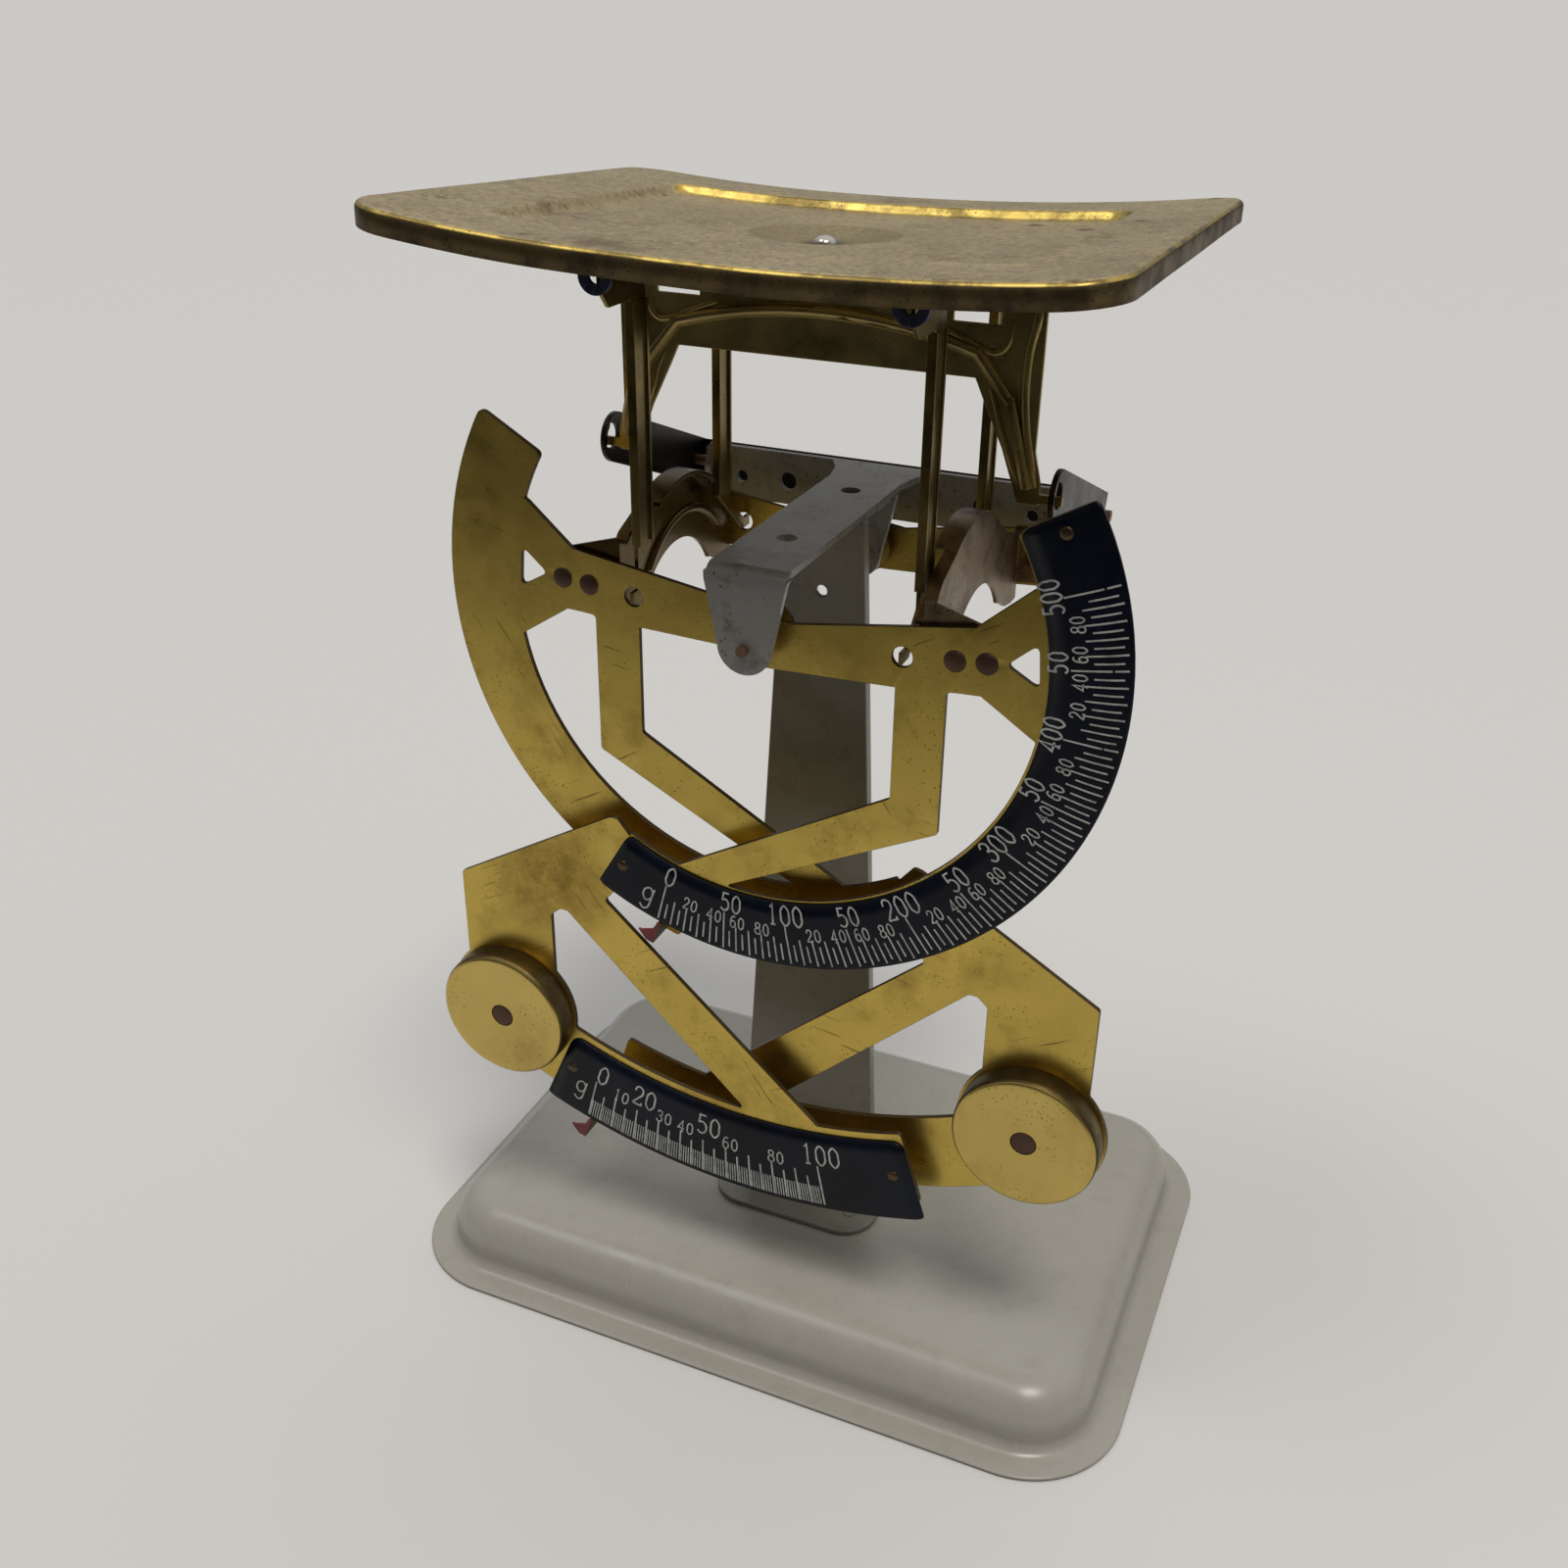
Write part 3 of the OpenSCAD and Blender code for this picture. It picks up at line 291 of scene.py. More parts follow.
# Post: a tapered channel of 1.5 mm sheet whose bottom is turned forward into a foot plate,
# held to the base by two rivets from below, and enamelled with it. Its grey, and its rivets',
# is darker than the base's: painted shade from the pan above.
def softened_copy(node, body, slot, width, *materials, facing=None, clamp=False):
    """The node's own shape with its sharp edges eased. Faces that don't look along
    `facing` (an axis number) take the second material, the sheet's cut edge."""
    bm = bmesh.new()
    bm.from_mesh(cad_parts[node].data)
    bmesh.ops.remove_doubles(bm, verts=bm.verts, dist=5e-6)
    bm.normal_update()
    if facing is not None and len(materials) > 1:
        for face in bm.faces:
            face.material_index = 0 if abs(face.normal[facing]) > 0.7 else 1
    sharp = [e for e in bm.edges if e.is_manifold and e.calc_face_angle(0) > math.radians(35)]
    bmesh.ops.bevel(bm, geom=sharp, offset=width, segments=2, profile=0.5, affect="EDGES",
                    material=-1 if len(materials) < 2 else 1, loop_slide=False, clamp_overlap=clamp)
    mesh = bpy.data.meshes.new(node + "_finished")
    bm.to_mesh(mesh)
    bm.free()
    if "custom_normal" in mesh.attributes:
        mesh.attributes.remove(mesh.attributes["custom_normal"])
    mesh.shade_smooth()
    mesh.set_sharp_from_angle(angle=math.radians(60))
    mesh.materials.clear()
    piece = add_piece(mesh, node + "_finished", *materials)
    even = piece.modifiers.new("even_shading", "WEIGHTED_NORMAL")
    even.weight = 100
    even.keep_sharp = True
    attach(piece, body)
    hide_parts(node)
    return piece


# A darker copy of the base's enamel: painted shade from the pan above.
shaded_post_enamel = grey_enamel_finish("shaded_post_enamel", (0.22, 0.21, 0.178), (0.09, 0.075, 0.055), 0.35)
softened_copy("post", "stand", "grey_enamel", 0.35 * mm, shaded_post_enamel)


def give_finish(node, material):
    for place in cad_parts[node].material_slots:
        place.material = material


give_finish("post_rivets", shaded_post_enamel)

# Axle bracket: tongue, arm and crossbar cut and bent from one sheet, with a rear tongue
# spot-welded below. Its grey enamel is dull and dirty, flecked with rust-brown specks.
bracket_enamel = grey_enamel_finish("bracket_enamel", (0.27, 0.262, 0.24), (0.10, 0.068, 0.042), 0.85)
overlay(bracket_enamel, (0.075, 0.038, 0.022), specks(bracket_enamel, 620, 0.12, 0.26),
        patches(bracket_enamel, 60, 0.42, 0.58, shift=(0.2, 0.5, 0.1)), 0.8)
softened_copy("axle_bracket", "stand", "bracket_enamel", 0.25 * mm, bracket_enamel, clamp=True)
softened_copy("rear_tongue", "stand", "bracket_enamel", 0.25 * mm, bracket_enamel)


# Pivot pins, yoke pins and their clips: plain steel pins, brown with rust, with small turned
# brass sleeves that keep the plates apart.
def metal_finish(name, colour, stain, amount, roughness=(0.3, 0.5), metallic=1.0, grain=None,
                 speck=0.5, blotch=(45, 0.5, 0.7), patch=(0.46, 0.60)):
    """Metal with blotches of stain by amount and dark specks in patches. Blotch is (scale, from,
    to) and patch (from, to) of the clouds that place them. Grain stretches a fine brushing."""
    material, shader = new_material(name, metallic=metallic)
    pale, full = [c * 0.9 for c in colour], [c * 1.08 for c in colour]
    shade = blended(material, patches(material, 18, 0.3, 0.7), pale, full)
    set_or_link(material, shade, shader.inputs["Base Color"])
    overlay(material, stain, patches(material, *blotch, 7, 0.65), amount)
    dots = product(material, specks(material, 900, 0.10, 0.22), patches(material, 75, *patch), speck)
    overlay(material, [c * 0.6 for c in stain], dots)
    rough = steps(material, clouds(material, 120, 5), (0.3, roughness[0]), (0.75, roughness[1]))
    rough = blended(material, dots, rough, (0.75, 0.75, 0.75))
    set_or_link(material, rough, shader.inputs["Roughness"])
    if grain:
        roughen(material, shader, clouds(material, 1, 3, stretch=grain), 0.25, 0.00003)
    roughen(material, shader, clouds(material, 700, 5), 0.25, 0.00006)
    return material


rusty_steel = metal_finish("rusty_steel", (0.20, 0.115, 0.07), (0.09, 0.04, 0.02), 0.8,
                           (0.45, 0.65), metallic=0.6)
for node in ("front_pivot_pin", "rear_pivot_pin", "yoke_pins", "pin_clips"):
    give_finish(node, rusty_steel)
sleeve_brass = metal_finish("sleeve_brass", (0.42, 0.30, 0.10), (0.12, 0.07, 0.02), 0.6)
give_finish("pivot_spacers", sleeve_brass)

# Sector plates and rear levers: two identical blanks of hard brass sheet, one the mirror image
# of the other, and two bars of the same sheet behind. They are lacquered over a fine brushed
# grain, scratched and flecked, with dark cut edges, and brown at the front plate's left corner.
def outline_loops(node):
    """The closed outlines of a flat plate's front face, as lists of (x, z)."""
    source = bmesh.new()
    source.from_mesh(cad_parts[node].data)
    bmesh.ops.remove_doubles(source, verts=source.verts, dist=5e-6)
    source.normal_update()
    follows = {}
    for edge in source.edges:
        fronts = [face for face in edge.link_faces if face.normal.y < -0.9]
        if len(fronts) == 1:
            first, second = edge.verts
            follows.setdefault(first, []).append(second)
            follows.setdefault(second, []).append(first)
    loops = []
    while follows:
        here = next(iter(follows))
        loop = []
        while here in follows:
            loop.append((here.co.x, here.co.z))
            onward = [v for v in follows.pop(here) if v in follows]
            here = onward[0] if onward else None
        loops.append(loop)
    front = min(v.co.y for v in source.verts)
    back = max(v.co.y for v in source.verts)
    source.free()
    return loops, front, back


def rounded_corners(loop, radius_at):
    """The outline with every clear corner replaced by a short curve."""
    rounded = []
    for i, corner in enumerate(loop):
        before, here, after = Vector(loop[i - 1]), Vector(corner), Vector(loop[(i + 1) % len(loop)])
        run_in, run_out = here - before, after - here
        turn = run_in.angle(run_out)
        if turn < math.radians(38):
            rounded.append(here)
            continue
        longest = 0.48 * min(run_in.length, run_out.length)
        cut = min(radius_at(here) * math.tan(turn / 2), longest)
        start, end = here - run_in.normalized() * cut, here + run_out.normalized() * cut
        for step in range(7):
            t = step / 6
            rounded.append(start * (1 - t) ** 2 + here * 2 * t * (1 - t) + end * t * t)
    return rounded


def faced_forward(bm):
    bm.normal_update()
    for face in bm.faces:
        if face.normal.y > 0:
            face.normal_flip()


ends_above, end_corner, plain_corner, plate_easing = 215 * mm, 2.1 * mm, 1.1 * mm, 0.1 * mm


def cut_plate(node, body, slot, face_metal, edge_metal):
    """A flat plate of the node's outline with its corners rounded, standing across Y."""
    loops, front, back = outline_loops(node)
    bm = bmesh.new()
    for loop in loops:
        points = rounded_corners(loop, lambda at: end_corner if at.y > ends_above else plain_corner)
        verts = [bm.verts.new((point.x, front, point.y)) for point in points]
        for pair in zip(verts, verts[1:] + verts[:1]):
            bm.edges.new(pair)
    bmesh.ops.triangle_fill(bm, use_beauty=True, use_dissolve=False, edges=bm.edges[:],
                            normal=(0, -1, 0))
    faced_forward(bm)
    piece = finished(bm, node + "_cut", body, slot, face_metal, edge_metal, replaces=(node,))
    thickened(piece, back - front).material_offset_rim = 1
    eased = piece.modifiers.new("eased_edges", "BEVEL")
    eased.width = plate_easing
    eased.segments = 2
    eased.limit_method = "ANGLE"
    eased.angle_limit = math.radians(60)
    eased.use_clamp_overlap = False
    eased.loop_slide = False
    eased.material = 1
    even = piece.modifiers.new("even_shading", "WEIGHTED_NORMAL")
    even.weight = 100


def scratched(material, amount, colour):
    """Darkens the finish along fine scratches that run in a few directions."""
    for turn, shift in ((35, (0.1, 0, 0.3)), (-62, (0.7, 0, 0.2)), (80, (0.4, 0, 0.9))):
        hairs = patches(material, 1, 0.69, 0.73, 1, stretch=(1500, 60, 60), turn=(0, turn, 0),
                        shift=shift)
        overlay(material, colour, hairs, patches(material, 45, 0.57, 0.64, 3, shift=shift), amount)


def within(material, inner, outer, **place):
    """1 up to a distance from a place and 0 past another, both in mm."""
    reach = 25
    distance = shader_node(material, "VectorMath", {0: pattern_place(material, **place)},
                           operation="LENGTH")
    share = product(material, distance.outputs["Value"], 1 / (reach * mm))
    return steps(material, share, (inner / reach, 1.0), (outer / reach, 0.0))


plate_brass = metal_finish("plate_brass", (0.60, 0.435, 0.10), (0.24, 0.145, 0.03), 0.5,
                           (0.27, 0.42), grain=(2600, 2600, 60), speck=0.75,
                           blotch=(60, 0.50, 0.70), patch=(0.45, 0.58))
scratched(plate_brass, 0.7, (0.10, 0.06, 0.015))
near_corner = within(plate_brass, 3.75, 20, stretch=(1, 0, 1), shift=(0.053, 0, -0.119))
corner_cloud = steps(plate_brass, clouds(plate_brass, 160, 6, 0.7), (0.30, 0.25), (0.62, 1.0))
overlay(plate_brass, (0.20, 0.12, 0.025), near_corner, corner_cloud, 0.85)
cut_edge = metal_finish("cut_edge", (0.10, 0.064, 0.024), (0.035, 0.022, 0.01), 0.7, (0.40, 0.6),
                        metallic=0.8)
for node, body in (("front_sector_plate", "front_pendulum"), ("rear_sector_plate", "rear_pendulum"),
                   ("right_lever", "front_pendulum"), ("left_lever", "rear_pendulum")):
    cut_plate(node, body, "plate_brass", plate_brass, cut_edge)


# Counterweights: thick brass discs turned in the lathe, with rounded rims and a shallow dish,
# each fixed to its plate's arm by one steel rivet that has rusted.
def turned(bm, centre, section, turns, upright=False):
    """Spins a section of (radius, distance along) round a line through the centre, which runs
    along Y or, for an upright piece, along Z."""
    points = [bm.verts.new((radius * mm, 0, along * mm)) for radius, along in section]
    ends = [bm.edges.new(pair) for pair in zip(points, points[1:])]
    bmesh.ops.spin(bm, geom=points + ends, cent=(0, 0, 0), axis=(0, 0, 1), dvec=(0, 0, 0),
                   angle=2 * math.pi, steps=turns, use_merge=True)
    verts = list({v for f in bm.faces for v in f.verts if not f.tag})
    for face in bm.faces:
        face.tag = True
    bmesh.ops.remove_doubles(bm, verts=verts, dist=1e-6)
    verts = [v for v in verts if v.is_valid]
    turn = Matrix.Identity(4) if upright else Matrix.Rotation(-math.pi / 2, 4, "X")
    bmesh.ops.transform(bm, matrix=Matrix.Translation(Vector(centre) * mm) @ turn, verts=verts)


pivot_z, front_y, rear_plate_y, plate_sheet = 190, -45.8, -39.35, 1.2
weight_u, weight_v, weight_radius, weight_thick = -65.783, -109.918, 16.86, 6.4
bore, weight_edge_round = 3.05, 1.3
# Each pendulum: its end of the scale, its side, its plate's face and its lever's face.
pendulums = (("front", "right", 1, front_y, 20.7), ("rear", "left", -1, rear_plate_y, 17.7))


def weight_brass_finish(name, centre_x):
    material = metal_finish(name, (0.62, 0.46, 0.135), (0.22, 0.13, 0.03), 0.35, (0.28, 0.40),
                            speck=0.85)
    shader = material.node_tree.nodes["Principled BSDF"]
    place = pattern_place(material, stretch=(1, 0, 1),
                          shift=(-centre_x * mm, 0, -(pivot_z + weight_v) * mm))
    inputs = {"Scale": 420, "Distortion": 1.5, "Detail": 2, "Vector": place}
    rings = shader_node(material, "TexWave", inputs, wave_type="RINGS", rings_direction="SPHERICAL")
    roughen(material, shader, rings.outputs["Fac"], 0.16, 0.00004)
    return material


# The rims' much darker brass is painted shade.
shaded_weight_rim = metal_finish("shaded_weight_rim", (0.17, 0.12, 0.045), (0.05, 0.034, 0.016), 0.8,
                           (0.38, 0.58), speck=1.0, blotch=(120, 0.4, 0.65))
weight_section = [(bore, 0)] + [(radius, dip - weight_thick)
                                for radius, dip in ((bore, 0.45), (6.0, 0.5), (11.5, 0.1), (13.6, 0))]
weight_section += [(weight_radius - weight_edge_round * (1 - math.sin(a)),
                    weight_edge_round * (1 - math.cos(a)) - weight_thick)
                   for a in (step * math.pi / 12 for step in range(7))]
weight_section += [(weight_radius, -0.8), (weight_radius - 0.25, -0.2), (weight_radius - 0.8, 0),
                   (bore, 0)]
for end, hand, side, plate_y, lever_y in pendulums:
    node = end + "_counterweight"
    bm = bmesh.new()
    turned(bm, (side * weight_u, plate_y, pivot_z + weight_v), weight_section, 96)
    bmesh.ops.recalc_face_normals(bm, faces=bm.faces)
    # Faces that look along Y take the disc's brass; the rim takes the darker brass of painted shade.
    for face in bm.faces:
        face.material_index = 0 if abs(face.normal.y) > 0.75 else 1
    disc_brass = weight_brass_finish(node + "_brass", side * weight_u)
    finished(bm, node + "_turned", end + "_pendulum", "weight_brass", disc_brass, shaded_weight_rim,
             replaces=(node,))


# Rivets: steel rivets with low domed heads, two through each end of an arch bracket and one
# through each counterweight. All of them are brown with rust.
def rivet_section(length, shank=1.5, head=2.35, rise=0.7):
    dome = ((0, 1), (0.4, 0.97), (0.72, 0.72), (0.93, 0.36), (1, 0))
    near = [(across * head, -up * rise) for across, up in dome] + [(shank, 0)]
    return near + [(radius, length - along) for radius, along in reversed(near)]


def rivets(bm, name, body):
    bmesh.ops.recalc_face_normals(bm, faces=bm.faces)
    node = name.rsplit("_", 1)[0]
    finished(bm, name, body, "rusty_rivet", rivet_rust, crease=60, replaces=(node,))


rivet_rust = metal_finish("rivet_rust", (0.105, 0.056, 0.032), (0.04, 0.022, 0.012), 0.8,
                          (0.45, 0.65), metallic=0.6)
bracket_sheet, lever_sheet = 1, 1.2
bar_rivets, lever_rivets = ((42.7, 2.9), (49.2, 3.5)), ((40.6, 2.6), (46.4, 3.2))
for end, hand, side, plate_y, lever_y in pendulums:
    bm = bmesh.new()
    for spots, y, held in ((bar_rivets, plate_y, plate_sheet),
                           (lever_rivets, lever_y - bracket_sheet, lever_sheet)):
        for u, v in spots:
            turned(bm, (side * u, y, pivot_z + v), rivet_section(held + bracket_sheet), 28)
    rivets(bm, hand + "_bracket_rivets_domed", end + "_pendulum")
weight_rivet_section = [(radius, dip - weight_thick)
                        for radius, dip in ((0, 0.15), (1.6, 0.2), (2.6, 0.35), (2.98, 0.6))]
weight_rivet_section += [(radius, plate_sheet + rise)
                         for radius, rise in ((2.98, 0), (4, 0), (3.8, 0.5), (3, 0.8), (0, 0.8))]
for end, hand, side, plate_y, lever_y in pendulums:
    bm = bmesh.new()
    turned(bm, (side * weight_u, plate_y, pivot_z + weight_v), weight_rivet_section, 48)
    rivets(bm, end + "_weight_rivet_peened", end + "_pendulum")


# Scale strips: thin metal strips enamelled navy black and riveted to the front plate at both
# ends. The outer margin of the long one is turned back a little towards its upper end.
def strip_finish(name):
    material, shader = new_material(name)
    mottled = steps(material, clouds(material, 40, 6, 0.7),
                    (0.35, (0.0015, 0.002, 0.004)), (0.75, (0.003, 0.006, 0.018)))
    set_or_link(material, mottled, shader.inputs["Base Color"])
    set_or_link(material, steps(material, clouds(material, 130, 6, 0.7), (0.35, 0.30), (0.8, 0.52)),
                shader.inputs["Roughness"])
    shader.inputs["Specular IOR Level"].default_value = 0.20
    roughen(material, shader, clouds(material, 500, 4), 0.15, 0.0001)
    return material


navy_enamel = strip_finish("navy_enamel")
strip_sheet = 0.5
strip_y = front_y - strip_sheet


def eased_step(value):
    value = min(1, max(0, value))
    return value * value * (3 - 2 * value)


def turned_back(radius, angle):
    """How far the long strip's face lies behind its flat plane, in mm."""
    flat_until, bends_over, margin_depth, margin_slope = -62, 50, 0.30, 2.6
    share = min(1, max(0, (angle - flat_until) / bends_over))
    margin = 77.4 - 3.4 * share
    return 0.0 if radius <= margin else margin_depth * share * min(1, (radius - margin) / margin_slope)


def strip_piece(name, node, inner, outer, angle_from, angle_to, round_r, bent):
    """A ring segment between two radii and two angles, with rounded corners."""
    radii = [inner, inner + 4, outer - 4, outer - 3.2, outer - 2.4, outer - 1.6, outer - 0.8, outer]
    bm = bmesh.new()
    front = [bm.verts.new((r, 0, 0)) for r in radii]
    line = [bm.edges.new(pair) for pair in zip(front, front[1:])]
    steps_round = round((angle_to - angle_from) / 1.5)
    bmesh.ops.rotate(bm, verts=front, cent=(0, 0, 0),
                     matrix=Matrix.Rotation(math.radians(-angle_from), 3, "Y"))
    bmesh.ops.spin(bm, geom=front + line, cent=(0, 0, 0), axis=(0, -1, 0), dvec=(0, 0, 0),
                   angle=math.radians(angle_to - angle_from), steps=steps_round, use_duplicate=False)
    outline = [v for v in bm.verts if len(v.link_edges) == 2]
    bmesh.ops.bevel(bm, geom=outline, offset=round_r, segments=5, profile=0.5, affect="VERTICES",
                    material=-1)
    for v in bm.verts:
        radius, angle = v.co.length, math.degrees(math.atan2(v.co.z, v.co.x))
        back = turned_back(radius, angle if angle < 90 else angle - 360) if bent else 0
        v.co = (v.co.x, strip_y + back, v.co.z + pivot_z)
    bmesh.ops.scale(bm, vec=(mm, mm, mm), verts=bm.verts)
    faced_forward(bm)
    piece = finished(bm, name, "front_pendulum", "scale_enamel", navy_enamel, crease=50,
                     replaces=(node,))
    thickened(piece, (strip_sheet - 0.32 if bent else strip_sheet - 0.02) * mm)


strip_piece("long_scale_strip", "main_scale_strip", 61.8, 78.1, -120.5, 30.0, 2.2, True)
strip_piece("short_scale_strip", "fine_scale_strip", 124.5, 146.5, -113.1, -72.3, 3.0, False)


# Printing on the strips: thin off-white lines every 5 grams on the long one and every gram on
# the short one, with plain numerals and the letter g before the zero. It lies on the enamel.
print_white, shader = new_material("print_white", roughness=0.6)
worn = steps(print_white, clouds(print_white, 350, 6, 0.7),
             (0.32, (0.26, 0.26, 0.25)), (0.55, (0.56, 0.56, 0.53)))
set_or_link(print_white, worn, shader.inputs["Base Color"])

zero_angle, degrees_per_gram, low_degrees_per_gram = -108.5, 0.2522, 0.2598
line_lean, print_lift, stroke_lift = 4.2, 0.03, 0.008


def printed(bm, radius_from, radius_to, angle, width, bent):
    """A printed line between two radii, leaning a little as the strip's printing does."""
    middle = (radius_from + radius_to) / 2
    parts = bmesh.ops.create_grid(bm, x_segments=6, y_segments=1, size=0.5)["verts"]
    bmesh.ops.scale(bm, vec=(radius_to - radius_from, width, 1), verts=parts)
    bmesh.ops.rotate(bm, verts=parts, cent=(0, 0, 0),
                     matrix=Matrix.Rotation(math.radians(line_lean), 3, "Z"))
    for v in parts:
        place_on_strip(v, middle + v.co.x, angle + math.degrees(v.co.y / middle), bent)


def place_on_strip(v, radius, angle, bent):
    back = turned_back(radius, angle) if bent else 0
    v.co = Vector((radius * math.cos(math.radians(angle)), strip_y - print_lift - v.co.z + back,
                   pivot_z + radius * math.sin(math.radians(angle)))) * mm


def smooth_path(points, closed=False, parts=5):
    """A curve through the points, as a list of 2-D vectors."""
    points = [Vector(point) for point in points]
    count = len(points)
    path = []
    for i in range(count if closed else count - 1):
        p1, p2 = points[i], points[(i + 1) % count]
        p0 = points[i - 1] if closed or i else p1
        p3 = points[(i + 2) % count] if closed or i + 2 < count else p2
        for step in range(parts):
            t = step / parts
            path.append(0.5 * (2 * p1 + (p2 - p0) * t + (2 * p0 - 5 * p1 + 4 * p2 - p3) * t * t
                               + (3 * p1 - p0 - 3 * p2 + p3) * t ** 3))
    path.append(path[0].copy() if closed else points[-1])
    return path


# Strokes of each character in a box one unit high: "~" is a curve, "o" a closed one and "-"
# stands for straight lines.
strokes = {
    "0": (("o", (0.5, 1), (0.83, 0.78), (0.86, 0.5), (0.83, 0.22), (0.5, 0), (0.17, 0.22), (0.14, 0.5),
           (0.17, 0.78)),),
    "1": (("-", (0.3, 0.84), (0.52, 1), (0.52, 0)), ("-", (0.32, 0), (0.72, 0))),
    "2": (("~", (0.16, 0.72), (0.24, 0.93), (0.52, 1), (0.82, 0.86), (0.8, 0.6), (0.5, 0.33), (0.15, 0.02)),
          ("-", (0.13, 0), (0.86, 0), (0.88, 0.14))),
    "3": (("~", (0.16, 0.82), (0.3, 0.97), (0.55, 1), (0.8, 0.86), (0.76, 0.63), (0.42, 0.54)),
          ("~", (0.42, 0.54), (0.8, 0.45), (0.87, 0.22), (0.66, 0.02), (0.34, 0), (0.12, 0.18))),
    "4": (("-", (0.66, 0), (0.66, 1), (0.08, 0.27), (0.93, 0.27)), ("-", (0.48, 0), (0.84, 0))),
    "5": (("-", (0.8, 1), (0.26, 1), (0.21, 0.56)),
          ("~", (0.21, 0.56), (0.5, 0.65), (0.83, 0.48), (0.83, 0.17), (0.5, 0), (0.14, 0.12))),
    "6": (("~", (0.78, 0.93), (0.52, 1), (0.24, 0.78), (0.14, 0.36), (0.28, 0.06), (0.58, 0), (0.85, 0.18),
           (0.8, 0.48), (0.5, 0.58), (0.17, 0.4)),),
    "8": (("o", (0.5, 1), (0.8, 0.88), (0.76, 0.64), (0.5, 0.54), (0.24, 0.64), (0.2, 0.88)),
          ("o", (0.5, 0.54), (0.84, 0.4), (0.85, 0.14), (0.5, 0), (0.15, 0.14), (0.16, 0.4))),
    "g": (("o", (0.44, 0.76), (0.78, 0.6), (0.78, 0.28), (0.44, 0.1), (0.08, 0.28), (0.08, 0.6)),
          ("-", (0.84, 0.8), (0.84, 0.0)),
          ("~", (0.84, 0.02), (0.78, -0.24), (0.46, -0.36), (0.1, -0.22))),
}


def stroke(bm, kind, points, origin, height, width, pen, lift):
    """Lays one stroke of the printing flat as a ribbon, as wide as the pen. The lift keeps
    strokes that cross apart."""
    if kind == "-":
        path = [Vector(point) for point in points]
    else:
        path = smooth_path(points, closed=kind == "o", parts=6)
    path = [Vector((origin + (point.x - 0.5) * width, point.y * height)) for point in path]
    rows = []
    last = len(path) - 1
    for i, here in enumerate(path):
        before = path[i - 1] if i else (path[-2] if kind == "o" else None)
        after = path[i + 1] if i < last else (path[1] if kind == "o" else None)
        run_in = (here - before).normalized() if before is not None else (after - here).normalized()
        run_out = (after - here).normalized() if after is not None else run_in
        along = (run_in + run_out).normalized() if (run_in + run_out).length > 0.1 else run_out
        reach = pen / 2 / max(0.45, along.dot(run_out))
        across = Vector((-along.y, along.x)) * reach
        rows.append((bm.verts.new((*(here + across), lift)), bm.verts.new((*(here - across), lift))))
    for first, second in zip(rows, rows[1:]):
        bm.faces.new((first[0], first[1], second[1], second[0]))


def numerals(bm, words, height, foot_radius, angle, bent, pen):
    """Words whose feet stand on a circle, read with their heads towards the pivot."""
    before = len(bm.verts)
    width = 0.56 * height
    pitch = (0.62 if height > 4 else 0.68) * height
    for i, letter in enumerate(words):
        origin = (i - (len(words) - 1) / 2) * pitch
        for layer, (kind, *points) in enumerate(strokes[letter]):
            stroke(bm, kind, points, origin, height, width, pen, stroke_lift * (layer + 1))
    bm.verts.ensure_lookup_table()
    for v in bm.verts[before:]:
        place_on_strip(v, foot_radius - v.co.y, angle + math.degrees(v.co.x / foot_radius), bent)


def printed_piece(bm, name):
    faced_forward(bm)
    finished(bm, name, "front_pendulum", "scale_enamel", print_white)


def drawn_in(angle):
    """How far the long strip's printing moves towards the pivot, in mm."""
    return 2.0 * eased_step((angle + 55) / 60)


bm = bmesh.new()
for grams in range(0, 501, 5):
    angle = zero_angle + degrees_per_gram * grams
    inner = 68.0 if grams % 50 == 0 else 71.0 if grams % 10 == 0 else 72.5
    outer = 77.5 if grams % 10 == 0 else 76.7
    printed(bm, inner - drawn_in(angle), outer - 0.2 * drawn_in(angle), angle, 0.38, True)
printed_piece(bm, "long_scale_lines")
bm = bmesh.new()
for grams in range(0, 101):
    inner = 134 if grams in (0, 100) else 136 if grams % 10 == 0 else 137.5 if grams % 5 == 0 else 140.2
    width = 0.42 if grams % 5 == 0 else 0.26
    printed(bm, inner, 145.4, zero_angle + low_degrees_per_gram * grams, width, False)
printed_piece(bm, "short_scale_lines")

bm = bmesh.new()
for grams in range(0, 501, 10):
    angle = zero_angle + degrees_per_gram * grams
    inwards = drawn_in(angle)
    if grams % 100 == 0:
        numerals(bm, str(grams), 5.1 - 0.5 * inwards, 67.7 - inwards, angle, True, 0.46)
    elif grams % 50 == 0:
        numerals(bm, "50", 4.6 - 0.4 * inwards, 67.4 - inwards, angle + 0.9, True, 0.44)
    elif grams % 20 == 0:
        aside = 0.3 if grams % 100 < 50 else 0
        numerals(bm, str(grams % 100), 3.0 - 0.1 * inwards, 71.2 - inwards, angle + aside, True, 0.34)
numerals(bm, "g", 5.4, 75.0, zero_angle - 2.9, True, 0.42)
printed_piece(bm, "long_scale_numerals")
bm = bmesh.new()
for grams, height, foot in ((0, 5.7, 134), (10, 3.5, 136), (20, 5.7, 134), (30, 3.5, 136), (40, 3.5, 136),
                            (50, 5.7, 134), (60, 3.5, 136), (80, 3.5, 135.8), (100, 5.7, 133.6)):
    numerals(bm, str(grams), height, foot, zero_angle + low_degrees_per_gram * grams + 0.35, False,
             0.48 if height > 5 else 0.36)
numerals(bm, "g", 5.4, 140.6, zero_angle - 1.5, False, 0.42)
printed_piece(bm, "short_scale_numerals")
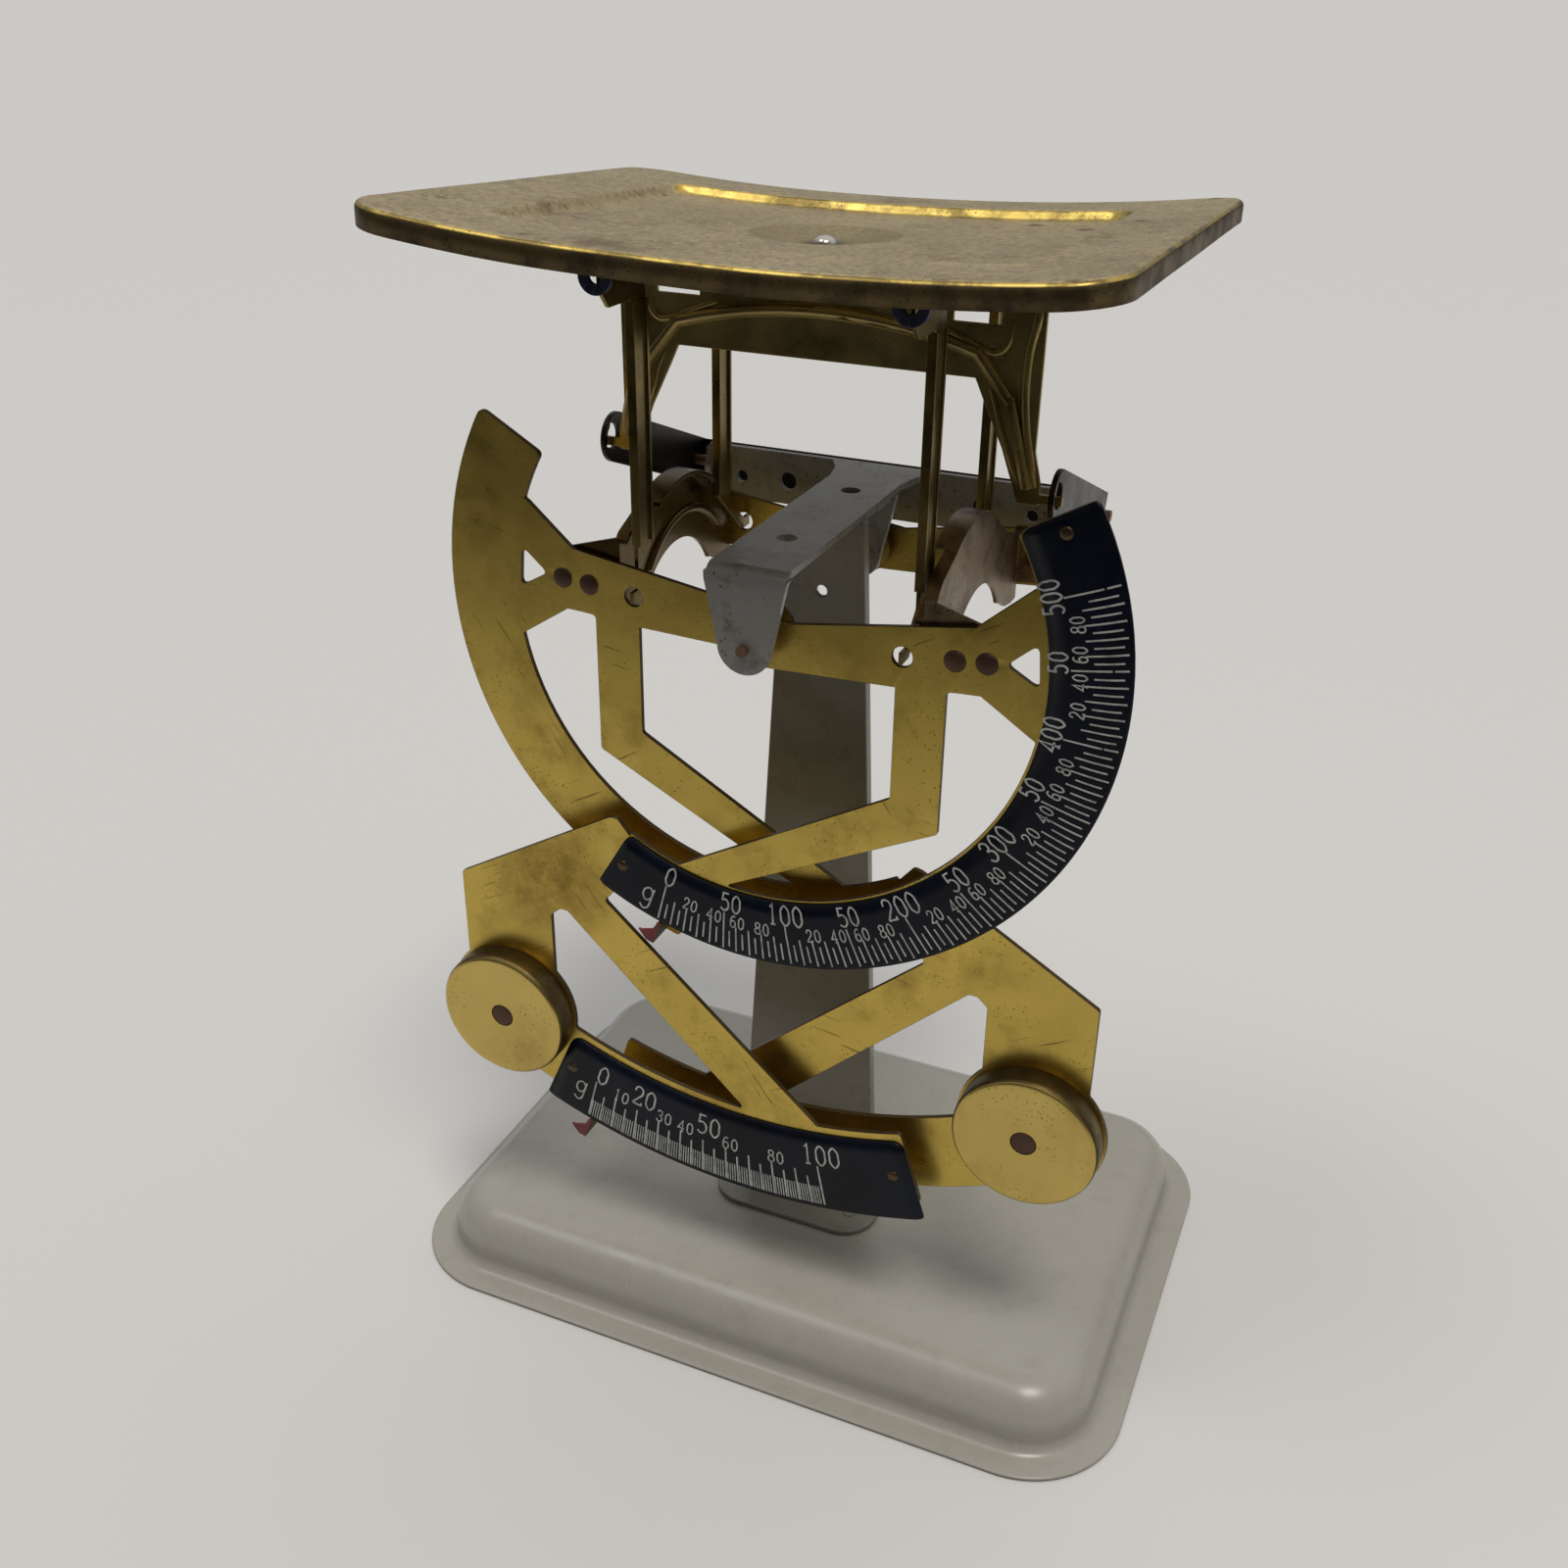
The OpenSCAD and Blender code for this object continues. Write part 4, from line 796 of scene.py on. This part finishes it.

# Small rivets: brass rivets in the ends of the strips, pulled down into dimples.
# Their dark brown is painted shade of the dimples, which are not modelled.
shaded_small_brass = metal_finish("shaded_small_brass", (0.10, 0.072, 0.038), (0.04, 0.025, 0.014), 0.7, (0.3, 0.5))
bm = bmesh.new()
for radius, angle in ((70.1, -118.2), (70.1, 27.2), (134.2, -111.7), (134.2, -74.4)):
    turn = math.radians(angle)
    turned(bm, (radius * math.cos(turn), front_y - strip_sheet, pivot_z + radius * math.sin(turn)),
           rivet_section(plate_sheet + strip_sheet, 0.88, 1.35, 0.4), 24)
bmesh.ops.recalc_face_normals(bm, faces=bm.faces)
finished(bm, "strip_rivets_domed", "front_pendulum", "small_rivet_brass", shaded_small_brass, crease=60,
         replaces=("scale_rivets",))

# Pointers: tabs of the rear plate bent forward past the scales' edge, with half-arrow tips
# dipped in dull red paint. The bare tabs are a dark olive: painted shade.
pointer_red, shader = new_material("pointer_red", roughness=0.45)
dull_red = steps(pointer_red, clouds(pointer_red, 200, 6),
                 (0.35, (0.10, 0.012, 0.014)), (0.7, (0.24, 0.022, 0.025)))
set_or_link(pointer_red, dull_red, shader.inputs["Base Color"])
# Dark olive for the bare tabs: painted shade.
shaded_tab_olive = metal_finish("shaded_tab_olive", (0.10, 0.08, 0.04), (0.03, 0.02, 0.015), 0.6, (0.4, 0.6),
                         metallic=0.7)
for node in ("upper_pointer", "lower_pointer"):
    tip = softened_copy(node, "rear_pendulum", "pointer_red", 0.08 * mm, pointer_red, shaded_tab_olive)
    for face in tip.data.polygons:
        face.material_index = 0 if face.center.y < (front_y + 0.6) * mm else 1

# Arch brackets: brass pressings that join each plate at the front to its lever at the rear,
# with a rounded crown over the axle and a ledge behind. The right one is brown and scuffed;
# the left one's darker brown is painted shade.
scuffed_brass = metal_finish("scuffed_brass", (0.23, 0.165, 0.10), (0.06, 0.038, 0.02), 0.7,
                             (0.34, 0.52), speck=1.0, blotch=(110, 0.48, 0.62))
scratched(scuffed_brass, 0.9, (0.04, 0.025, 0.012))
# The left bracket's darker brown: painted shade.
shaded_brown_brass = metal_finish("shaded_brown_brass", (0.12, 0.078, 0.026), (0.04, 0.025, 0.01), 0.65,
                           (0.22, 0.38), speck=0.9)
for node, body, brass in (("right_arch_bracket", "front_pendulum", scuffed_brass),
                          ("left_arch_bracket", "rear_pendulum", shaded_brown_brass)):
    softened_copy(node, body, "bracket_brass", 0.15 * mm, brass, cut_edge, facing=0)

# Legs: four brass channels that stand in the load holes on thin blades and carry the pan's
# lugs on hooked arms. They are dark brass, with their edges slightly eased.
leg_brass = metal_finish("leg_brass", (0.215, 0.155, 0.05), (0.045, 0.032, 0.013), 0.65,
                         (0.26, 0.42), speck=0.8)
for node in ("front_right_leg", "rear_right_leg", "front_left_leg", "rear_left_leg"):
    softened_copy(node, node, "leg_brass", 0.1 * mm, leg_brass)

# Rails: blued steel strips under the pan, turned down at both ends into round lugs that hang
# on the legs by small brass pins.
blued_steel = metal_finish("blued_steel", (0.045, 0.06, 0.10), (0.03, 0.025, 0.02), 0.5,
                           (0.35, 0.5), metallic=0.8)
for node in ("left_rail", "right_rail"):
    softened_copy(node, "pan_carriage", "blued_steel", 0.12 * mm, blued_steel)
for node in ("rail_rivets", "lug_pins"):
    give_finish(node, sleeve_brass)

# Trestle: a brass pressing that hangs below the pan across the scale, stiffened by a raised
# arch. Its two legs run in the yoke's front holes.
trestle_brass = metal_finish("trestle_brass", (0.37, 0.285, 0.115), (0.08, 0.055, 0.02), 0.6,
                             (0.28, 0.46), speck=0.9)
trestle_piece = softened_copy("trestle", "pan_carriage", "trestle_brass", 0.15 * mm, trestle_brass)
# Its boss ends below the dish in the pan.
pan_middle_y, boss_radius, boss_top = -12.8, 4.9, 262.98
for v in trestle_piece.data.vertices:
    if math.hypot(v.co.x, v.co.y - pan_middle_y * mm) < boss_radius * mm:
        v.co.z = min(v.co.z, boss_top * mm)


def bead(bm, points, half_width, rise, face_y):
    """A low rounded rib on an upright sheet, along points given as (x, z) in mm."""
    path = smooth_path(points)
    rows = []
    for i, here in enumerate(path):
        along = (path[min(i + 1, len(path) - 1)] - path[max(i - 1, 0)]).normalized()
        across = Vector((-along.y, along.x))
        end = min(1, 0.15 + min(i, len(path) - 1 - i) / 4)
        row = []
        for step in range(9):
            turn = math.pi * step / 8
            spot = here + across * half_width * math.cos(turn) * (0.5 + 0.5 * end)
            y = face_y + 0.05 - rise * end * math.sin(turn)
            row.append(bm.verts.new(Vector((spot.x, y, spot.y)) * mm))
        rows.append(row)
    for row, following in zip(rows, rows[1:]):
        for i in range(8):
            bm.faces.new((row[i], row[i + 1], following[i + 1], following[i]))


trestle_face = -13.3
outer_bead = ((45.4, 255.5), (45.2, 252), (44.2, 247), (43.9, 241.5), (44.0, 237), (44.7, 231),
              (45.9, 225), (47.3, 219.4))
upper_bead = ((40.2, 251.5), (39.6, 247.6), (37.6, 245.6), (34.4, 246.0), (30.0, 247.9), (24.0, 250.2))
inner_bead = ((36.6, 238.8), (38.0, 235.2), (39.2, 231.2), (41.2, 226.0), (43.6, 219.8))
bm = bmesh.new()
for side in (1, -1):
    for line, half_width, rise in ((outer_bead, 1.0, 0.9), (upper_bead, 0.7, 0.6),
                                   (inner_bead, 0.6, 0.55)):
        bead(bm, [(side * x, z) for x, z in line], half_width, rise, trestle_face)
faced(bm, 1, -1)
finished(bm, "trestle_relief", "pan_carriage", "trestle_brass", trestle_brass, crease=80)

# Guide yoke: a strip of dark blued steel bent into a U. It swings on two pins in the crossbar
# and keeps the trestle upright.
dark_steel = metal_finish("dark_steel", (0.030, 0.024, 0.024), (0.02, 0.014, 0.011), 0.5,
                          (0.30, 0.48), metallic=0.8)
softened_copy("guide_yoke", "guide_yoke", "dark_steel", 0.15 * mm, dark_steel)


# Pan: one brass sheet bowed from side to side, with a rolled edge, a turned-down rim, a shallow
# oblong recess and a dish round its screw. The bare metal is dull, speckled and stained.
def pan_finish():
    material, shader = new_material("pan_brass", metallic=1.0)
    broad = patches(material, 26, 0.32, 0.68, 5, 0.6)
    shade = blended(material, broad, (0.50, 0.40, 0.225), (0.66, 0.54, 0.33))
    set_or_link(material, shade, shader.inputs["Base Color"])
    overlay(material, (0.21, 0.16, 0.085), patches(material, 650, 0.42, 0.64, 6, 0.75), 0.6)
    dots = product(material, specks(material, 700, 0.12, 0.24), patches(material, 90, 0.46, 0.6))
    overlay(material, (0.07, 0.045, 0.02), dots, 0.8)
    stain = patches(material, 34, 0.56, 0.66, 7, 0.75, shift=(0.3, 0.1, 0))
    overlay(material, (0.17, 0.10, 0.05), stain, 0.5)
    spots = specks(material, 62, 0.09, 0.16, shift=(0.2, 0.4, 0))
    picked = patches(material, 30, 0.52, 0.56, 2, shift=(0.6, 0.2, 0))
    overlay(material, (0.12, 0.055, 0.035), spots, picked, 0.75)
    screw_place = {"stretch": (1, 1, 0), "shift": (0, -pan_middle_y * mm, 0)}
    # Darker olive inside the dish and darker still round the screw: painted shade.
    overlay(material, (0.27, 0.21, 0.09), within(material, 15.25, 16, **screw_place), 0.5)
    overlay(material, (0.09, 0.06, 0.03), within(material, 3, 6, **screw_place), 0.7)
    rough = steps(material, clouds(material, 160, 6, 0.7), (0.3, 0.40), (0.75, 0.60))
    set_or_link(material, blended(material, dots, rough, (0.8, 0.8, 0.8)), shader.inputs["Roughness"])
    roughen(material, shader, clouds(material, 900, 6, 0.7), 0.5, 0.0001)
    roughen(material, shader, clouds(material, 40, 3), 0.25, 0.0006)
    return material


pan_brass = pan_finish()
pan_width, pan_depth, pan_corner, pan_sheet, pan_top, pan_lean = 147.6, 122, 9, 0.6, 267.2, 1.9
recess_half_x, recess_half_y, recess_corner, recess_depth, recess_wall = 53.8, 41, 6, 1.8, 2.2
dish_depth, dish_radius, dish_wall, edge_round, edge_drop = 1.8, 15.8, 10, 1.6, 3.0
bow, bow_at_ends, twist, swell, wave_height, wave_length = 0.596e-3, 0.372e-7, 0.278e-3, 0.22, 0.12, 30


def rounded_distance(x, y, half_x, half_y, corner):
    """Distance outside (+) or inside (-) a rounded rectangle."""
    dx, dy = abs(x) - half_x + corner, abs(y) - half_y + corner
    outside = math.hypot(max(dx, 0), max(dy, 0))
    return outside + min(max(dx, dy), 0) - corner


def denser(share, wall, full):
    """Spreads the grid's lines so that most of them run along the wall of the recess."""
    stops = ((0, 0), (0.48, wall - 2.4), (0.76, wall + 2.0), (1, full))
    for (low, start), (high, end) in zip(stops, stops[1:]):
        if abs(share) <= high:
            return math.copysign(start + (end - start) * (abs(share) - low) / (high - low), share)
    return math.copysign(full, share)


bm = bmesh.new()
bmesh.ops.create_grid(bm, x_segments=150, y_segments=130, size=1)
half_x, half_y = pan_width / 2 - edge_round, pan_depth / 2 - edge_round
corner = pan_corner - edge_round + 2
for v in bm.verts:
    x, y = denser(v.co.x, recess_half_x, half_x), denser(v.co.y, recess_half_y, half_y)
    ax, ay = (abs(x) - half_x + corner) / corner, (abs(y) - half_y + corner) / corner
    if ax > 0 and ay > 0:
        x = math.copysign(half_x - corner + corner * ax * math.sqrt(1 - ay * ay / 2), x)
        y = math.copysign(half_y - corner + corner * ay * math.sqrt(1 - ax * ax / 2), y)
    v.co = (x, y, 0)
border = [e for e in bm.edges if e.is_boundary]
centre_of = {}
for step in range(1, 8):
    grown = bmesh.ops.extrude_edge_only(bm, edges=border)["geom"]
    border = [e for e in grown if isinstance(e, bmesh.types.BMEdge)]
    fresh = [v for v in grown if isinstance(v, bmesh.types.BMVert)]
    if step == 1:
        reach_x, reach_y = half_x - pan_corner + edge_round, half_y - pan_corner + edge_round
        for v in fresh:
            inward = Vector((max(-reach_x, min(reach_x, v.co.x)), max(-reach_y, min(reach_y, v.co.y)), 0))
            centre_of[v] = (v.co.copy(), (v.co - inward).normalized())
    else:
        centre_of = {v: centre_of[e.other_vert(v)] for v in fresh for e in v.link_edges
                     if e.other_vert(v) in centre_of}
    turn = min(step, 6) * math.pi / 12
    drop = -edge_round * (1 - math.cos(turn)) - (edge_drop if step == 7 else 0)
    for v in fresh:
        start, outward = centre_of[v]
        v.co = start + outward * edge_round * math.sin(turn) + Vector((0, 0, drop))
for v in bm.verts:
    x, y, z = v.co
    z += bow * x * x + bow_at_ends * x ** 4 + twist * x * y
    outside = rounded_distance(x, y, recess_half_x, recess_half_y, recess_corner)
    z -= recess_depth * eased_step(0.2 - outside / recess_wall)
    z += swell * math.exp(-((outside - 1.4) / 1.3) ** 2)
    z -= dish_depth * min(1, max(0, (dish_radius - math.hypot(x, y)) / dish_wall))
    z += wave_height * smooth_noise.noise(Vector((x, y, 0)) / wave_length)
    v.co.z = z
bmesh.ops.rotate(bm, verts=bm.verts, cent=(0, 0, 0),
                 matrix=Matrix.Rotation(math.radians(-pan_lean), 3, "X"))
bmesh.ops.translate(bm, verts=bm.verts, vec=(0, pan_middle_y, pan_top))
bmesh.ops.scale(bm, vec=(mm, mm, mm), verts=bm.verts)
faced(bm, 2, 1)
# Faces are coloured by the way they look: level ones take the pan's brass, the steep rim a dark brass that
# is partly stain and partly painted shade, and sloping faces that look frontwards, such as the recess's
# back wall and the rolled edge, a golden brass that is partly wear and partly painted highlight.
for face in bm.faces:
    within_recess = abs(face.calc_center_median().x) < (recess_half_x + 4) * mm and face.normal.y > -0.3
    level_face = face.normal.z > (0.45 if within_recess else 0.90)
    face.material_index = 0 if level_face else 2 if face.normal.z > 0.45 else 1
# Dark rim brass, partly stain and partly painted shade; golden edge brass, partly wear and partly painted
# highlight.
stained_and_shaded_rim = metal_finish("stained_and_shaded_rim", (0.13, 0.09, 0.036), (0.045, 0.03, 0.016), 0.85, (0.48, 0.7),
                        speck=1.0, metallic=0.8, blotch=(120, 0.42, 0.6), patch=(0.36, 0.5))
worn_and_highlit_edge = metal_finish("worn_and_highlit_edge", (0.62, 0.45, 0.12), (0.14, 0.095, 0.035), 0.8, (0.28, 0.42),
                         speck=1.0, blotch=(90, 0.46, 0.58))
pan_piece = finished(bm, "pan_pressed", "pan_carriage", "pan_brass", pan_brass, stained_and_shaded_rim, worn_and_highlit_edge,
                     crease=80, replaces=("pan",))
thickened(pan_piece, pan_sheet * mm)

# Pan screw: a domed nickel-bright screw through the middle of the pan into the trestle's boss.
screw_metal = metal_finish("screw_metal", (0.60, 0.56, 0.48), (0.20, 0.15, 0.10), 0.6,
                           (0.12, 0.26), blotch=(260, 0.45, 0.6))
bm = bmesh.new()
turned(bm, (0, pan_middle_y, pan_top - recess_depth - dish_depth),
       [(0, 1.7), (0.9, 1.6), (1.7, 1.3), (2.4, 0.75), (2.75, 0.1), (2.75, -0.2), (1.98, -0.2),
        (1.98, -6.2), (0, -6.2)], 40, upright=True)
bmesh.ops.recalc_face_normals(bm, faces=bm.faces)
finished(bm, "pan_screw_domed", "pan_carriage", "turned_brass", screw_metal, crease=60,
         replaces=("pan_screw",))
